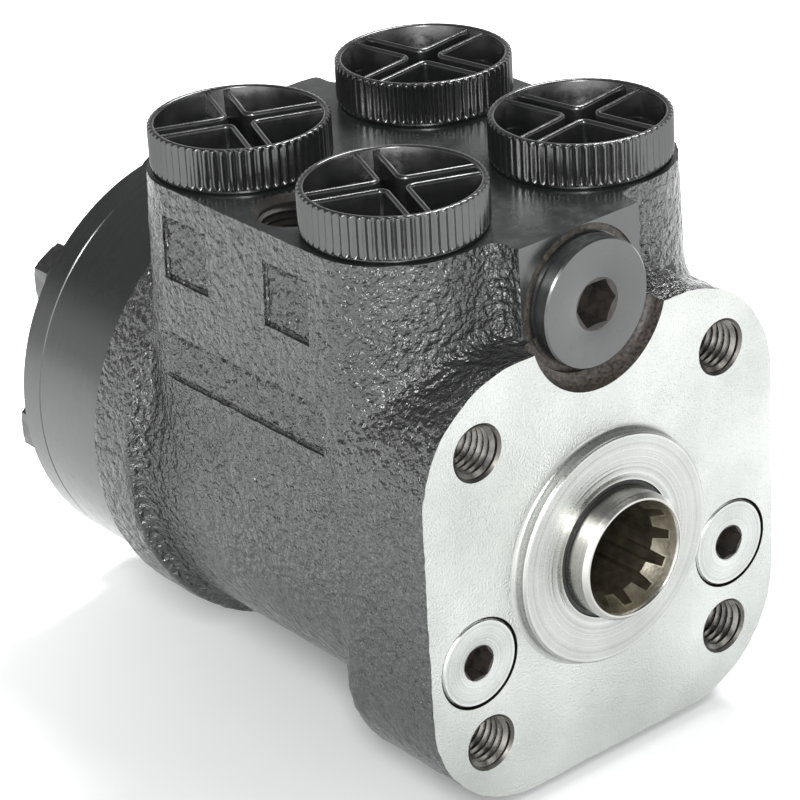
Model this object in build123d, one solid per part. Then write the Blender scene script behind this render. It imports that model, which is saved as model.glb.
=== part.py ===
"""Orbital steering unit: a hand-turned rotary valve and gerotor meter in one cast housing.

The shaft axis is the Y axis. The column flange face is the plane y = 0 and faces -Y.
The four ports open upwards (+Z). Lengths are in millimetres and angles in degrees.
"""
from build123d import *
from math import atan, cos, degrees, pi, radians, sin, sqrt, tan
import os

# Column flange, which bolts to the steering column
FLANGE_HALF_WIDTH = 42.2
FLANGE_HALF_HEIGHT = 43.1
FLANGE_CORNER_R = 23.0
FLANGE_THICK = 25.0
COLUMN_PCD = 82.5
COLUMN_SCREW_R = 5.0
COLUMN_HOLE_DEPTH = 16.0
SPIGOT_R = 22.2
SPIGOT_HIGH = 2.6
SPIGOT_FOOT = 1.0
SPIGOT_EDGE = 0.4

# Cast body
HOUSING_LENGTH = 99.07
BARREL_R = 42.3
REAR_FLANGE_R = 45.7
REAR_FLANGE_Y = 84.0
REAR_TURNED_R = 43.7
REAR_TURNED_LENGTH = 2.0
PORT_FACE_Z = 61.0
PORT_SPACING_X = 44.0
PORT_SPACING_Y = 44.0
PORT_ROW_Y = 50.0
BLOCK_CORNER_R = 17.8
CASTING_DRAFT = 2.0
TONGUE_HALF_WIDTH = 14.4
TONGUE_FRONT_Y = 4.6
TONGUE_REAR_Y = 96.0
CAST_FILLET = 3.0
STEP_FILLET = 2.0
CAST_EDGE = 1.2
PANEL_DEPTH = 0.5
PANEL_CORNER_R = 1.0
LETTER_PANELS = [(60.3, 73.5, 43.0, 55.4), (30.8, 43.6, 43.0, 55.4), (28.0, 78.5, 22.7, 32.2)]

# Ports
PORT_R = 10.48
PORT_DEPTH = 15.0
PORT_CHAMFER = 0.6
PASSAGE_R = 5.0
SIGNAL_PORT_R = 6.58
SIGNAL_PORT_DEPTH = 12.0
SIGNAL_PORT_X = -29.6
SIGNAL_PORT_Y = 46.7
SIGNAL_DRILL_R = 2.0

# Rotary valve: spool inside sleeve inside housing bore
RUN_CLEARANCE = 0.02
END_CLEARANCE = 0.05
SLEEVE_R = 19.0
SPOOL_R = 14.3
NECK_R = 12.2
NECK_OUT = 7.5
NECK_CHAMFER = 0.8
NECK_SEAT_CLEARANCE = 0.4
BORE_FRONT_Y = 12.0
SPLINE_TEETH = 12
SPLINE_PITCH_R = 9.525
SPLINE_TIP_GAP_R = 8.85
SPLINE_MAJOR_R = 10.3
SPLINE_ENTRY_CHAMFER = 0.7
SOCKET_END_Y = 20.0
SPRING_SLOT_Y = 23.0
CAVITY_Y = 32.5
CAVITY_R = 10.6
PIN_Y = 40.0
PIN_R = 4.0
VALVE_ANGLE = 8.0
OIL_GROOVE_R = 22.0
OIL_GROOVE_WIDTH = 5.0
OIL_GROOVES = 5
OIL_GROOVE_PITCH = 11.0
SLEEVE_PORTS = 6
SLEEVE_PORT_R = 1.8

# Neutral-position leaf springs
LEAF_COUNT = 6
LEAF_THICK = 0.4
LEAF_WIDTH = 6.0
LEAF_BOW = 0.35
LEAF_SLOT_CLEARANCE = 0.15
SPRING_RING_THICK = 1.0

# Thrust bearing and seals at the neck
RACE_THICK = 2.0
NEEDLE_R = 1.5
NEEDLE_COUNT = 18
BEARING_INNER_R = 12.8
BEARING_OUTER_R = 18.6
DUST_SEAL_R = 13.2
DUST_SEAL_LENGTH = 3.8
SHAFT_SEAL_R = 16.5
SHAFT_SEAL_Y = 5.0
SHAFT_SEAL_LENGTH = 5.0
SEAL_CLEARANCE = 0.05

# Gerotor meter behind the housing
STACK_R = 43.15
PLATE_THICK = 4.53
RING_THICK = 13.63
COVER_THICK = 6.71
RING_LOBES = 7
LOBE_R = 8.0
LOBE_CIRCLE_R = 33.5
ECCENTRICITY = 3.43
ROTOR_CLEARANCE = 0.07
ROTOR_OUTLINE_POINTS = 16
ROTOR_OUTLINE_EVENING = 0.12
POCKET_CLEARANCE = 0.14
PLATE_HOLE_R = 12.0
PLATE_SLOT_WIDTH = 4.0
PLATE_SLOT_DEPTH = 1.5
PLATE_SLOT_OUTER_R = 29.5
SPACER_THICK = 1.7
SPACER_R = 8.4

# Cover screws
SCREW_CIRCLE_R = 35.0
SCREW_R = 4.0
SCREW_HOLE_CLEARANCE = 0.2
SCREW_GRIP = 12.0
SCREW_HEAD_FLATS = 12.0
SCREW_HEAD_HIGH = 5.3
WASHER_R = 7.0
WASHER_THICK = 1.2
PINNED_PIN_R = 2.0
PINNED_PIN_LENGTH = 9.0
O_RING_R = 41.0
O_RING_SECTION_R = 0.75
O_RING_GROOVE_DEPTH = 1.5
O_RING_CLEARANCE = 0.01

# Cardan shaft
CARDAN_R = 6.5
FORK_R = 9.3
FORK_FRONT = 6.5
FORK_BACK = 9.0
FORK_SIDE_CLEARANCE = 0.1
FORK_END_CLEARANCE = 0.5
CARDAN_TEETH_LENGTH = 9.0

# Relief valve in the tongue
RELIEF_Z = 47.34
RELIEF_PLUG_R = 12.1
RELIEF_PLUG_FACE_Y = 0.63
RELIEF_PLUG_FLANGE = 3.1
RELIEF_THREAD_R = 10.0
RELIEF_THREAD_END_Y = 15.0
RELIEF_SOCKET_FLATS = 8.0
RELIEF_SOCKET_DEPTH = 6.0
RELIEF_SOCKET_CHAMFER_R = 4.95
RELIEF_POCKET_R = 16.0
RELIEF_POCKET_DEPTH = 3.8
RELIEF_SPOTFACE_R = 12.4
RELIEF_BORE_R = 7.0
RELIEF_BORE_END_Y = 50.0
RELIEF_FEED_Y = 58.0
RELIEF_DRILL_R = 2.5
RELIEF_FIT = 0.02
RELIEF_SEAT_LENGTH = 6.0
RELIEF_POPPET_LENGTH = 10.0
RELIEF_POPPET_R = 4.5
RELIEF_LIFT = 1.5
ADJUSTER_LENGTH = 7.0
ADJUSTER_SOCKET_FLATS = 5.0
SEAL_WASHER_R = 11.6

# Shock valves either side of the shaft
SHOCK_X = 30.93
SHOCK_Z = -11.95
SHOCK_HOLE_R = 8.87
SHOCK_HOLE_DEPTH = 9.0
SHOCK_PLUG_R = 8.45
SHOCK_SOCKET_FLATS = 6.0
SHOCK_SOCKET_DEPTH = 5.0
SHOCK_SOCKET_CHAMFER_R = 3.9
SHOCK_BORE_R = 5.5
SHOCK_BALL_R = 4.0
SHOCK_BALL_Y = 28.0
SHOCK_SEAT_HOLE_R = 2.5
SHOCK_DRILL_END_Y = 40.0
SHOCK_LIFT = 1.5
SPRING_WIRE_BAND = 1.5

# Check valve under the pump port and suction valves under the two work ports
CHECK_BALL_R = 4.0
SUCTION_BALL_R = 3.5
BALL_SIDE_CLEARANCE = 0.5
BALL_CHAMBER_TOP_Z = 42.0
BALL_CHAMBER_Z = 31.0
CHECK_BUSH_HOLE_R = 3.0
BALL_DRILL_R = 2.6
BALL_SEAT_LAND = 3.0
BALL_LIFT = 2.0
SUCTION_PIN_R = 1.2
TOUCH_GAP = 0.01

# Plastic port caps
CAP_R = 16.9
CAP_TOP_Z = 69.65
CAP_GRIP_Z = 61.66
CAP_LIP_R = 16.5
CAP_FOOT_R = 15.6
CAP_FOOT_HIGH = 0.3
CAP_WALL = 1.4
CAP_FLOOR = 1.6
CAP_RIB = 1.0
CAP_RIB_CHANNEL = 2.8
CAP_RIB_DROP = 0.4
CAP_POCKET_CORNER_R = 1.2
CAP_SHANK_R = 9.2
CAP_SHANK_LENGTH = 9.0
CAP_SHANK_WALL = 1.6
CAP_TURNS = {"front_left": -22.0, "rear_left": -22.0, "front_right": 10.0, "rear_right": 10.0}

HALF_X = PORT_SPACING_X / 2
HALF_Y = PORT_SPACING_Y / 2
RING_FRONT_Y = HOUSING_LENGTH + PLATE_THICK
COVER_FRONT_Y = RING_FRONT_Y + RING_THICK
COVER_REAR_Y = COVER_FRONT_Y + COVER_THICK
ROTOR_Y = RING_FRONT_Y + RING_THICK / 2
ROTOR_DROP = -90.0
FIRST_LOBE_ANGLE = 90.0
ROTOR_Z = -ECCENTRICITY
CARDAN_LENGTH = sqrt((ROTOR_Y - PIN_Y) ** 2 + ECCENTRICITY ** 2)
CARDAN_TILT = degrees(atan(ECCENTRICITY / (ROTOR_Y - PIN_Y)))
SPLINE_SWING = CARDAN_TEETH_LENGTH / 2 * sin(radians(CARDAN_TILT)) + 0.06
SPOOL_HOLE_R = PIN_R + SPOOL_R * sin(radians(VALVE_ANGLE)) + 0.1
LEAF_PACK = LEAF_COUNT * (LEAF_THICK + LEAF_BOW)
SPRING_CENTRE_Y = SPRING_SLOT_Y + LEAF_WIDTH / 2
BEARING_Y = BORE_FRONT_Y + END_CLEARANCE
SLEEVE_FRONT_Y = BEARING_Y + 2 * RACE_THICK + 2 * NEEDLE_R + 2 * END_CLEARANCE


def across_y(sketch, y0, y1):
    """Extrude a sketch drawn in X and Z from y0 to y1."""
    plane = Plane(origin=(0, y1, 0), x_dir=(1, 0, 0), z_dir=(0, -1, 0))
    return extrude(plane * sketch, amount=y1 - y0)


def rod_y(x, z, radius, y0, y1):
    return across_y(Pos(x, z) * Circle(radius), y0, y1)


def rod_z(x, y, radius, z0, z1):
    return extrude(Pos(x, y, z0) * Circle(radius), amount=z1 - z0)


def turned(x, z, outline):
    """Revolve an outline of (radius, y) points about the line along Y through x, z."""
    face = make_face(Polyline(*outline, close=True))
    return Pos(x, 0, z) * revolve(face, Axis.Y, 360)


def drill(start, end, radius):
    """A round hole between two points, each a tuple of x, y and z."""
    line = Line(start, end)
    return sweep(Plane(origin=line @ 0, z_dir=line % 0) * Circle(radius), path=line)


def hexagon_y(x, z, across_flats, y0, y1):
    return across_y(Pos(x, z) * RegularPolygon(across_flats / 2, 6, major_radius=False), y0, y1)


def around(count, first_angle):
    """Angles in the X-Z plane, measured from +X towards +Z."""
    return [first_angle + 360 * k / count for k in range(count)]


def on_circle(radius, angle):
    return radius * cos(radians(angle)), radius * sin(radians(angle))


def socket_spline(tip_r, major_r, pitch_r, tooth_share, y0, y1):
    """Cutter for an internal spline: a bore and one straight-sided space per gap."""
    space = pi * pitch_r / SPLINE_TEETH * (2 - tooth_share)
    half_pitch = space / 2
    half_root = half_pitch * 0.72
    half_tip = half_pitch * 1.12
    gap = make_face(Polyline((tip_r - 1, -half_tip), (major_r, -half_root), (major_r, half_root),
                             (tip_r - 1, half_tip), close=True))
    cutter = Circle(tip_r)
    for angle in around(SPLINE_TEETH, 0):
        cutter += Rot(0, 0, angle) * gap
    return across_y(cutter, y0, y1)


def shaft_spline(root_r, tip_r, pitch_r, side_clearance, length):
    """External spline about the local Z axis, from z = 0 up to length."""
    space = pi * pitch_r / SPLINE_TEETH
    half_root = space / 2 * 1.12 - side_clearance
    half_tip = space / 2 * 0.72 - side_clearance
    tooth = make_face(Polyline((root_r - 1, -half_root), (tip_r, -half_tip), (tip_r, half_tip),
                               (root_r - 1, half_root), close=True))
    profile = Circle(root_r)
    for angle in around(SPLINE_TEETH, 0):
        profile += Rot(0, 0, angle) * tooth
    return extrude(profile, amount=length)


def port_places():
    """Port centres, named as seen when facing the column flange."""
    return {
        "front_left": (-HALF_X, PORT_ROW_Y - HALF_Y),
        "front_right": (HALF_X, PORT_ROW_Y - HALF_Y),
        "rear_left": (-HALF_X, PORT_ROW_Y + HALF_Y),
        "rear_right": (HALF_X, PORT_ROW_Y + HALF_Y),
    }


def oil_groove_places():
    first = PORT_ROW_Y - OIL_GROOVE_PITCH * (OIL_GROOVES - 1) / 2
    return [first + OIL_GROOVE_PITCH * k for k in range(OIL_GROOVES)]


# ---------------------------------------------------------------- housing

def upper_block():
    """Drafted port block with the tongue that runs front to back under the port face."""
    plan = Pos(0, PORT_ROW_Y) * RectangleRounded(PORT_SPACING_X + 2 * BLOCK_CORNER_R,
                                                 PORT_SPACING_Y + 2 * BLOCK_CORNER_R, BLOCK_CORNER_R)
    block = extrude(Pos(0, 0, PORT_FACE_Z) * plan, amount=-PORT_FACE_Z, taper=-CASTING_DRAFT)
    length = TONGUE_REAR_Y - TONGUE_FRONT_Y
    tongue_plan = Pos(0, TONGUE_FRONT_Y + length / 2) * Rectangle(2 * TONGUE_HALF_WIDTH, length)
    block += extrude(Pos(0, 0, PORT_FACE_Z) * tongue_plan, amount=-PORT_FACE_Z)
    inner, front, rear = [], [], []
    for edge in block.edges():
        middle = edge @ 0.5
        upright = edge.length > PORT_FACE_Z / 2
        if upright and abs(abs(middle.X) - TONGUE_HALF_WIDTH) < CAST_EDGE / 2:
            if middle.Y < TONGUE_FRONT_Y + CAST_EDGE:
                front.append(edge)
            elif middle.Y > TONGUE_REAR_Y - CAST_EDGE:
                rear.append(edge)
            else:
                inner.append(edge)
    block = fillet(inner, CAST_FILLET)
    for corners, radius in ((front, CAST_EDGE), (rear, 2 * CAST_EDGE)):
        places = [corner @ 0.5 for corner in corners]
        edges = [edge for edge in block.edges() if any((edge @ 0.5 - place).length < 0.1 for place in places)]
        block = fillet(edges, radius)
    return block


def flange_rim(body):
    """Edges where the cheeks of the port block rise from the rim of the column flange."""
    low = FLANGE_HALF_HEIGHT - FLANGE_CORNER_R / 1.5
    edges = []
    for edge in body.edges():
        start, middle, end = edge @ 0, edge @ 0.5, edge @ 1
        on_rim = low < middle.Z < FLANGE_HALF_HEIGHT + CAST_EDGE
        behind_tongue = TONGUE_FRONT_Y + CAST_EDGE < middle.Y < FLANGE_THICK - CAST_EDGE
        along_y = abs(start.X - end.X) < 0.01 and abs(start.Y - end.Y) > CAST_FILLET
        if on_rim and behind_tongue and not (along_y and abs(start.Z - end.Z) < CAST_EDGE / 4):
            edges.append(edge)
    return edges


def rear_flange():
    return turned(0, 0, [(0, REAR_FLANGE_Y), (REAR_FLANGE_R - CAST_EDGE, REAR_FLANGE_Y),
                         (REAR_FLANGE_R, REAR_FLANGE_Y + CAST_EDGE),
                         (REAR_FLANGE_R, HOUSING_LENGTH - 2 * REAR_TURNED_LENGTH),
                         (REAR_TURNED_R, HOUSING_LENGTH - REAR_TURNED_LENGTH),
                         (REAR_TURNED_R, HOUSING_LENGTH), (0, HOUSING_LENGTH)])


def letter_panels():
    """Cutters for the shallow panels in the left wall of the casting."""
    panels = []
    for y0, y1, z0, z1 in LETTER_PANELS:
        middle_z = (z0 + z1) / 2
        wall_x = HALF_X + BLOCK_CORNER_R + (PORT_FACE_Z - middle_z) * tan(radians(CASTING_DRAFT))
        plate = Box(2 * PANEL_DEPTH, y1 - y0, z1 - z0)
        plate = fillet(plate.edges().filter_by(Axis.X), PANEL_CORNER_R)
        panels.append(Pos(-wall_x, (y0 + y1) / 2, middle_z) * Rot(0, CASTING_DRAFT, 0) * plate)
    return panels


def casting():
    """Outside of the iron casting: barrel, port block, column flange and rear flange."""
    barrel = rod_y(0, 0, BARREL_R, TONGUE_FRONT_Y + CAST_FILLET, REAR_FLANGE_Y + CAST_FILLET)
    flange = across_y(RectangleRounded(2 * FLANGE_HALF_WIDTH, 2 * FLANGE_HALF_HEIGHT, FLANGE_CORNER_R),
                      0, FLANGE_THICK)
    body = upper_block() + barrel + flange
    body = fillet(flange_rim(body), CAST_FILLET)
    body += rear_flange()
    step = []
    for edge in body.edges():
        middle = edge @ 0.5
        on_barrel = abs(sqrt(middle.X ** 2 + middle.Z ** 2) - BARREL_R) < 0.05
        if on_barrel and abs(middle.Y - REAR_FLANGE_Y) < 0.05:
            step.append(edge)
    body = fillet(step, STEP_FILLET)
    for panel in letter_panels():
        body -= panel
    return body


def spigot():
    """Turned pilot on the flange face, with its foot radius and a broken edge."""
    foot = [(SPIGOT_R + SPIGOT_FOOT * (1 - sin(radians(a))), -SPIGOT_FOOT * (1 - cos(radians(a))))
            for a in (0, 30, 60, 90)]
    outline = [(0, 0.5), (SPIGOT_R + SPIGOT_FOOT, 0.5)] + foot
    outline += [(SPIGOT_R, -SPIGOT_HIGH + SPIGOT_EDGE), (SPIGOT_R - SPIGOT_EDGE, -SPIGOT_HIGH),
                (0, -SPIGOT_HIGH)]
    return turned(0, 0, outline)


def valve_bore():
    """Cutter for the stepped bore that holds the seals, the bearing and the rotary valve."""
    neck = NECK_R + NECK_SEAT_CLEARANCE
    cutter = turned(0, 0, [(0, -SPIGOT_HIGH - 1), (DUST_SEAL_R, -SPIGOT_HIGH - 1),
                           (DUST_SEAL_R, -SPIGOT_HIGH + DUST_SEAL_LENGTH + 0.3),
                           (neck, -SPIGOT_HIGH + DUST_SEAL_LENGTH + 0.3), (neck, SHAFT_SEAL_Y),
                           (SHAFT_SEAL_R, SHAFT_SEAL_Y), (SHAFT_SEAL_R, SHAFT_SEAL_Y + SHAFT_SEAL_LENGTH),
                           (neck, SHAFT_SEAL_Y + SHAFT_SEAL_LENGTH), (neck, BORE_FRONT_Y),
                           (SLEEVE_R + RUN_CLEARANCE, BORE_FRONT_Y),
                           (SLEEVE_R + RUN_CLEARANCE, HOUSING_LENGTH + 1), (0, HOUSING_LENGTH + 1)])
    for y in oil_groove_places():
        cutter += rod_y(0, 0, OIL_GROOVE_R, y - OIL_GROOVE_WIDTH / 2, y + OIL_GROOVE_WIDTH / 2)
    return cutter


def port_holes():
    """Cutter for the four ports, their ball chambers and the passages to the oil grooves."""
    bottom = PORT_FACE_Z - PORT_DEPTH
    grooves = oil_groove_places()
    feeds = {"front_left": grooves[0], "front_right": grooves[1],
             "rear_left": grooves[4], "rear_right": grooves[3]}
    cutters = []
    for name, (x, y) in port_places().items():
        cutters.append(rod_z(x, y, PORT_R, bottom, PORT_FACE_Z + 1))
        rim = PORT_R + PORT_CHAMFER
        cutters.append(Pos(x, y, PORT_FACE_Z - PORT_CHAMFER / 2) * Cone(PORT_R, rim, PORT_CHAMFER))
        if name == "front_left":
            cutters.append(drill((x, y, bottom + 1), (x * 0.92, feeds[name], 8), PASSAGE_R))
        else:
            radius = ball_radius(name) + BALL_SIDE_CLEARANCE
            cutters.append(rod_z(x, y, radius, BALL_CHAMBER_Z, bottom + 1))
            land_z = BALL_CHAMBER_Z - BALL_SEAT_LAND
            cutters.append(rod_z(x, y, BALL_DRILL_R, land_z, BALL_CHAMBER_Z + 1))
            cutters.append(drill((x, y, land_z), (x * 0.92, feeds[name], 8), BALL_DRILL_R))
    x, y = SIGNAL_PORT_X, SIGNAL_PORT_Y
    signal_bottom = PORT_FACE_Z - SIGNAL_PORT_DEPTH
    cutters.append(rod_z(x, y, SIGNAL_PORT_R, signal_bottom, PORT_FACE_Z + 1))
    rim = SIGNAL_PORT_R + 2 * PORT_CHAMFER
    cutters.append(Pos(x, y, PORT_FACE_Z - PORT_CHAMFER) * Cone(SIGNAL_PORT_R, rim, 2 * PORT_CHAMFER))
    cutters.append(drill((x, y, signal_bottom + 1), (x * 0.6, PORT_ROW_Y, 8), SIGNAL_DRILL_R))
    return cutters


def relief_bore():
    """Cutters for the relief valve: pocket in the flange edge, thread, bore, feed and drain."""
    tank_groove, pump_groove = oil_groove_places()[:2]
    pocket = rod_y(0, RELIEF_Z, RELIEF_POCKET_R, -1, RELIEF_POCKET_DEPTH)
    seat = rod_y(0, RELIEF_Z, RELIEF_SPOTFACE_R, 0, TONGUE_FRONT_Y)
    thread = rod_y(0, RELIEF_Z, RELIEF_THREAD_R, 0, RELIEF_THREAD_END_Y)
    bore = rod_y(0, RELIEF_Z, RELIEF_BORE_R, 0, RELIEF_BORE_END_Y)
    feed = rod_y(0, RELIEF_Z, RELIEF_DRILL_R, RELIEF_BORE_END_Y - 1, RELIEF_FEED_Y)
    pump = drill((0, RELIEF_FEED_Y, RELIEF_Z), (0, pump_groove, SLEEVE_R), RELIEF_DRILL_R * 0.8)
    drain = drill((0, tank_groove, RELIEF_Z), (0, tank_groove, SLEEVE_R), RELIEF_DRILL_R)
    return [pocket, seat, thread, bore, feed, pump, drain]


def shock_bores(side):
    """Cutters for one shock valve: plug hole, spring bore and drilling behind the ball."""
    x = side * SHOCK_X
    seat_y = SHOCK_BALL_Y + sqrt(SHOCK_BALL_R ** 2 - SHOCK_SEAT_HOLE_R ** 2) + TOUCH_GAP
    plug = rod_y(x, SHOCK_Z, SHOCK_HOLE_R, -1, SHOCK_HOLE_DEPTH)
    bore = rod_y(x, SHOCK_Z, SHOCK_BORE_R, 0, seat_y)
    feed = rod_y(x, SHOCK_Z, SHOCK_SEAT_HOLE_R, 0, SHOCK_DRILL_END_Y)
    cross = drill((x, SHOCK_DRILL_END_Y - SHOCK_SEAT_HOLE_R, SHOCK_Z),
                  (side * SLEEVE_R * 0.9, SHOCK_DRILL_END_Y - SHOCK_SEAT_HOLE_R, SHOCK_Z), SHOCK_SEAT_HOLE_R * 0.8)
    return [plug, bore, feed, cross]


def column_holes():
    """Cutters for the four tapped column holes with their countersinks."""
    cutters = []
    for angle in around(4, 45):
        x, z = on_circle(COLUMN_PCD / 2, angle)
        r = COLUMN_SCREW_R
        cutters.append(turned(x, z, [(0, -1), (r + 1.5, -1), (r, 0.5), (r, COLUMN_HOLE_DEPTH),
                                     (0, COLUMN_HOLE_DEPTH + r / 2)]))
    return cutters


def housing():
    body = casting()
    body += spigot()
    body -= valve_bore()
    for cutter in port_holes() + relief_bore() + shock_bores(1) + shock_bores(-1) + column_holes():
        body -= cutter
    for angle in around(RING_LOBES, FIRST_LOBE_ANGLE):
        x, z = on_circle(SCREW_CIRCLE_R, angle)
        body -= rod_y(x, z, SCREW_R + SCREW_HOLE_CLEARANCE, HOUSING_LENGTH - SCREW_GRIP - 1, HOUSING_LENGTH + 1)
    x, z = on_circle(SCREW_CIRCLE_R, FIRST_LOBE_ANGLE)
    pin_end = HOUSING_LENGTH - SCREW_GRIP - PINNED_PIN_LENGTH
    body -= rod_y(x, z, PINNED_PIN_R + SCREW_HOLE_CLEARANCE, pin_end - 1, HOUSING_LENGTH)
    body -= o_ring_groove(HOUSING_LENGTH - O_RING_GROOVE_DEPTH)
    return body


def o_ring_groove(y0):
    ring = Circle(O_RING_R + O_RING_SECTION_R) - Circle(O_RING_R - O_RING_SECTION_R)
    return across_y(ring, y0, y0 + O_RING_GROOVE_DEPTH)


# ---------------------------------------------------------------- rotary valve

def spool():
    """Inner valve: splined neck, leaf spring slot, pin holes and a cavity for the cardan shaft."""
    end_y = HOUSING_LENGTH - END_CLEARANCE
    shoulder = SLEEVE_FRONT_Y + 0.5
    body = turned(0, 0, [(0, -NECK_OUT), (NECK_R - NECK_CHAMFER, -NECK_OUT), (NECK_R, -NECK_OUT + NECK_CHAMFER),
                         (NECK_R, shoulder), (SPOOL_R, shoulder), (SPOOL_R, end_y), (0, end_y)])
    body -= socket_spline(SPLINE_TIP_GAP_R, SPLINE_MAJOR_R, SPLINE_PITCH_R, 1.0, -NECK_OUT - 1, SOCKET_END_Y)
    entry = SPLINE_MAJOR_R + 0.2
    body -= turned(0, 0, [(0, -NECK_OUT - 1), (entry, -NECK_OUT - 1), (entry, -NECK_OUT + 0.3),
                          (entry - SPLINE_ENTRY_CHAMFER, -NECK_OUT + 0.3 + SPLINE_ENTRY_CHAMFER),
                          (0, -NECK_OUT + 0.3 + SPLINE_ENTRY_CHAMFER)])
    body -= rod_y(0, 0, CAVITY_R, CAVITY_Y, end_y + 1)
    body -= Pos(0, PIN_Y, 0) * Rot(0, 90, 0) * Cylinder(SPOOL_HOLE_R, 4 * SPOOL_R)
    slot_high = LEAF_PACK + 2 * (LEAF_SLOT_CLEARANCE + SPOOL_R * sin(radians(VALVE_ANGLE)))
    slot_wide = LEAF_WIDTH + 2 * LEAF_SLOT_CLEARANCE
    body -= Pos(0, SPRING_CENTRE_Y, 0) * Box(4 * SPOOL_R, slot_wide, slot_high)
    for y in oil_groove_places()[1:]:
        for angle in around(3, 90):
            x, z = on_circle(SPOOL_R, angle)
            body -= Pos(x, y, z) * Rot(0, -angle, 0) * Box(3.0, OIL_GROOVE_WIDTH + 2, 2.4)
    return body


def sleeve():
    """Outer valve: ground cylinder with rows of ports, a spring slot and the cross pin hole."""
    end_y = HOUSING_LENGTH - END_CLEARANCE
    body = across_y(Circle(SLEEVE_R) - Circle(SPOOL_R + RUN_CLEARANCE), SLEEVE_FRONT_Y, end_y)
    slot_high = LEAF_PACK + 2 * LEAF_SLOT_CLEARANCE
    slot_wide = LEAF_WIDTH + 2 * LEAF_SLOT_CLEARANCE
    body -= Pos(0, SPRING_CENTRE_Y, 0) * Box(4 * SLEEVE_R, slot_wide, slot_high)
    ring_r = SLEEVE_R - SPRING_RING_THICK
    band = Circle(SLEEVE_R + 1) - Circle(ring_r)
    body -= across_y(band, SPRING_SLOT_Y - 0.2, SPRING_SLOT_Y + LEAF_WIDTH + 0.2)
    body -= Pos(0, PIN_Y, 0) * Rot(0, 90, 0) * Cylinder(PIN_R + TOUCH_GAP, 4 * SLEEVE_R)
    for k, y in enumerate(oil_groove_places()[1:]):
        for angle in around(SLEEVE_PORTS, 90 + 30 * (k % 2)):
            body -= Pos(0, y + OIL_GROOVE_WIDTH / 4, 0) * Rot(0, -angle, 0) * Pos(SLEEVE_R, 0, 0) \
                * Rot(0, 90, 0) * Cylinder(SLEEVE_PORT_R, SLEEVE_R / 2)
    return body


def cross_pin():
    """Pin through the sleeve, loose in the spool, that drives the cardan shaft."""
    length = 2 * (SLEEVE_R - 0.3)
    return Pos(0, PIN_Y, 0) * Rot(0, 90, 0) * Cylinder(PIN_R, length)


def neutral_springs():
    """A pack of bowed leaf springs that lie back to back in the slot."""
    half = SLEEVE_R - SPRING_RING_THICK - 0.15
    leaves = []
    for k in range(LEAF_COUNT):
        level = (k - (LEAF_COUNT - 1) / 2) * (LEAF_THICK + LEAF_BOW)
        bow = LEAF_BOW if level > 0 else -LEAF_BOW
        lower = ThreePointArc((-half, level + bow / 2), (0, level - bow / 2), (half, level + bow / 2))
        upper = ThreePointArc((-half, level + bow / 2 + LEAF_THICK), (0, level - bow / 2 + LEAF_THICK),
                              (half, level + bow / 2 + LEAF_THICK))
        ends = [Line(lower @ 0, upper @ 0), Line(lower @ 1, upper @ 1)]
        leaf = Pos(0, -LEAF_THICK / 2) * make_face(Curve() + [lower, upper] + ends)
        leaves.append(across_y(leaf, SPRING_SLOT_Y, SPRING_SLOT_Y + LEAF_WIDTH))
    return Compound(children=leaves)


def spring_ring():
    """Open band that keeps the leaf springs from sliding out of the sleeve."""
    outer = Circle(SLEEVE_R - SEAL_CLEARANCE) - Circle(SLEEVE_R - SPRING_RING_THICK + TOUCH_GAP)
    return across_y(outer, SPRING_SLOT_Y, SPRING_SLOT_Y + LEAF_WIDTH)


def bearing_race(y0):
    return across_y(Circle(BEARING_OUTER_R) - Circle(BEARING_INNER_R), y0, y0 + RACE_THICK)


def needle_cage():
    """Thrust needles and the thin cage that spaces them."""
    y0 = BEARING_Y + RACE_THICK + END_CLEARANCE
    middle_y = y0 + NEEDLE_R
    cage = across_y(Circle(BEARING_OUTER_R) - Circle(BEARING_INNER_R), middle_y - NEEDLE_R / 2,
                    middle_y + NEEDLE_R / 2)
    length = BEARING_OUTER_R - BEARING_INNER_R - 1.2
    middle_r = (BEARING_OUTER_R + BEARING_INNER_R) / 2
    for angle in around(NEEDLE_COUNT, 0):
        needle = Pos(0, middle_y, 0) * Rot(0, -angle, 0) * Pos(middle_r, 0, 0) * Rot(0, 90, 0)
        cage += needle * extrude(Pos(0, 0, -length / 2) * RegularPolygon(NEEDLE_R, 8), amount=length)
    return cage


def dust_seal():
    """Lip ring in the mouth of the bore, round the neck."""
    y0 = -SPIGOT_HIGH + 0.3
    y1 = -SPIGOT_HIGH + DUST_SEAL_LENGTH
    outer, inner = DUST_SEAL_R - 0.005, NECK_R + SEAL_CLEARANCE
    return turned(0, 0, [(inner, y0), (outer - 0.2, y0), (outer, y0 + 0.2), (outer, y1), (inner, y1)])


def shaft_seal():
    """Pressure seal: a square backing with a lip against the neck."""
    outer, inner = SHAFT_SEAL_R - 0.05, NECK_R + SEAL_CLEARANCE
    y0, y1 = SHAFT_SEAL_Y + 0.1, SHAFT_SEAL_Y + SHAFT_SEAL_LENGTH
    return turned(0, 0, [(inner, y0 + 1.2), (inner + 0.8, y0 + 0.6), (inner + 1.6, y0), (outer, y0),
                         (outer, y1), (inner + 1.6, y1), (inner + 1.2, y0 + 2.2)])


# ---------------------------------------------------------------- gerotor meter

def stack_holes(y0, y1):
    """Cutters for the cover screws through one plate of the stack."""
    cutters = []
    for angle in around(RING_LOBES, FIRST_LOBE_ANGLE):
        x, z = on_circle(SCREW_CIRCLE_R, angle)
        cutters.append(rod_y(x, z, SCREW_R + SCREW_HOLE_CLEARANCE, y0 - 1, y1 + 1))
    return cutters


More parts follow.
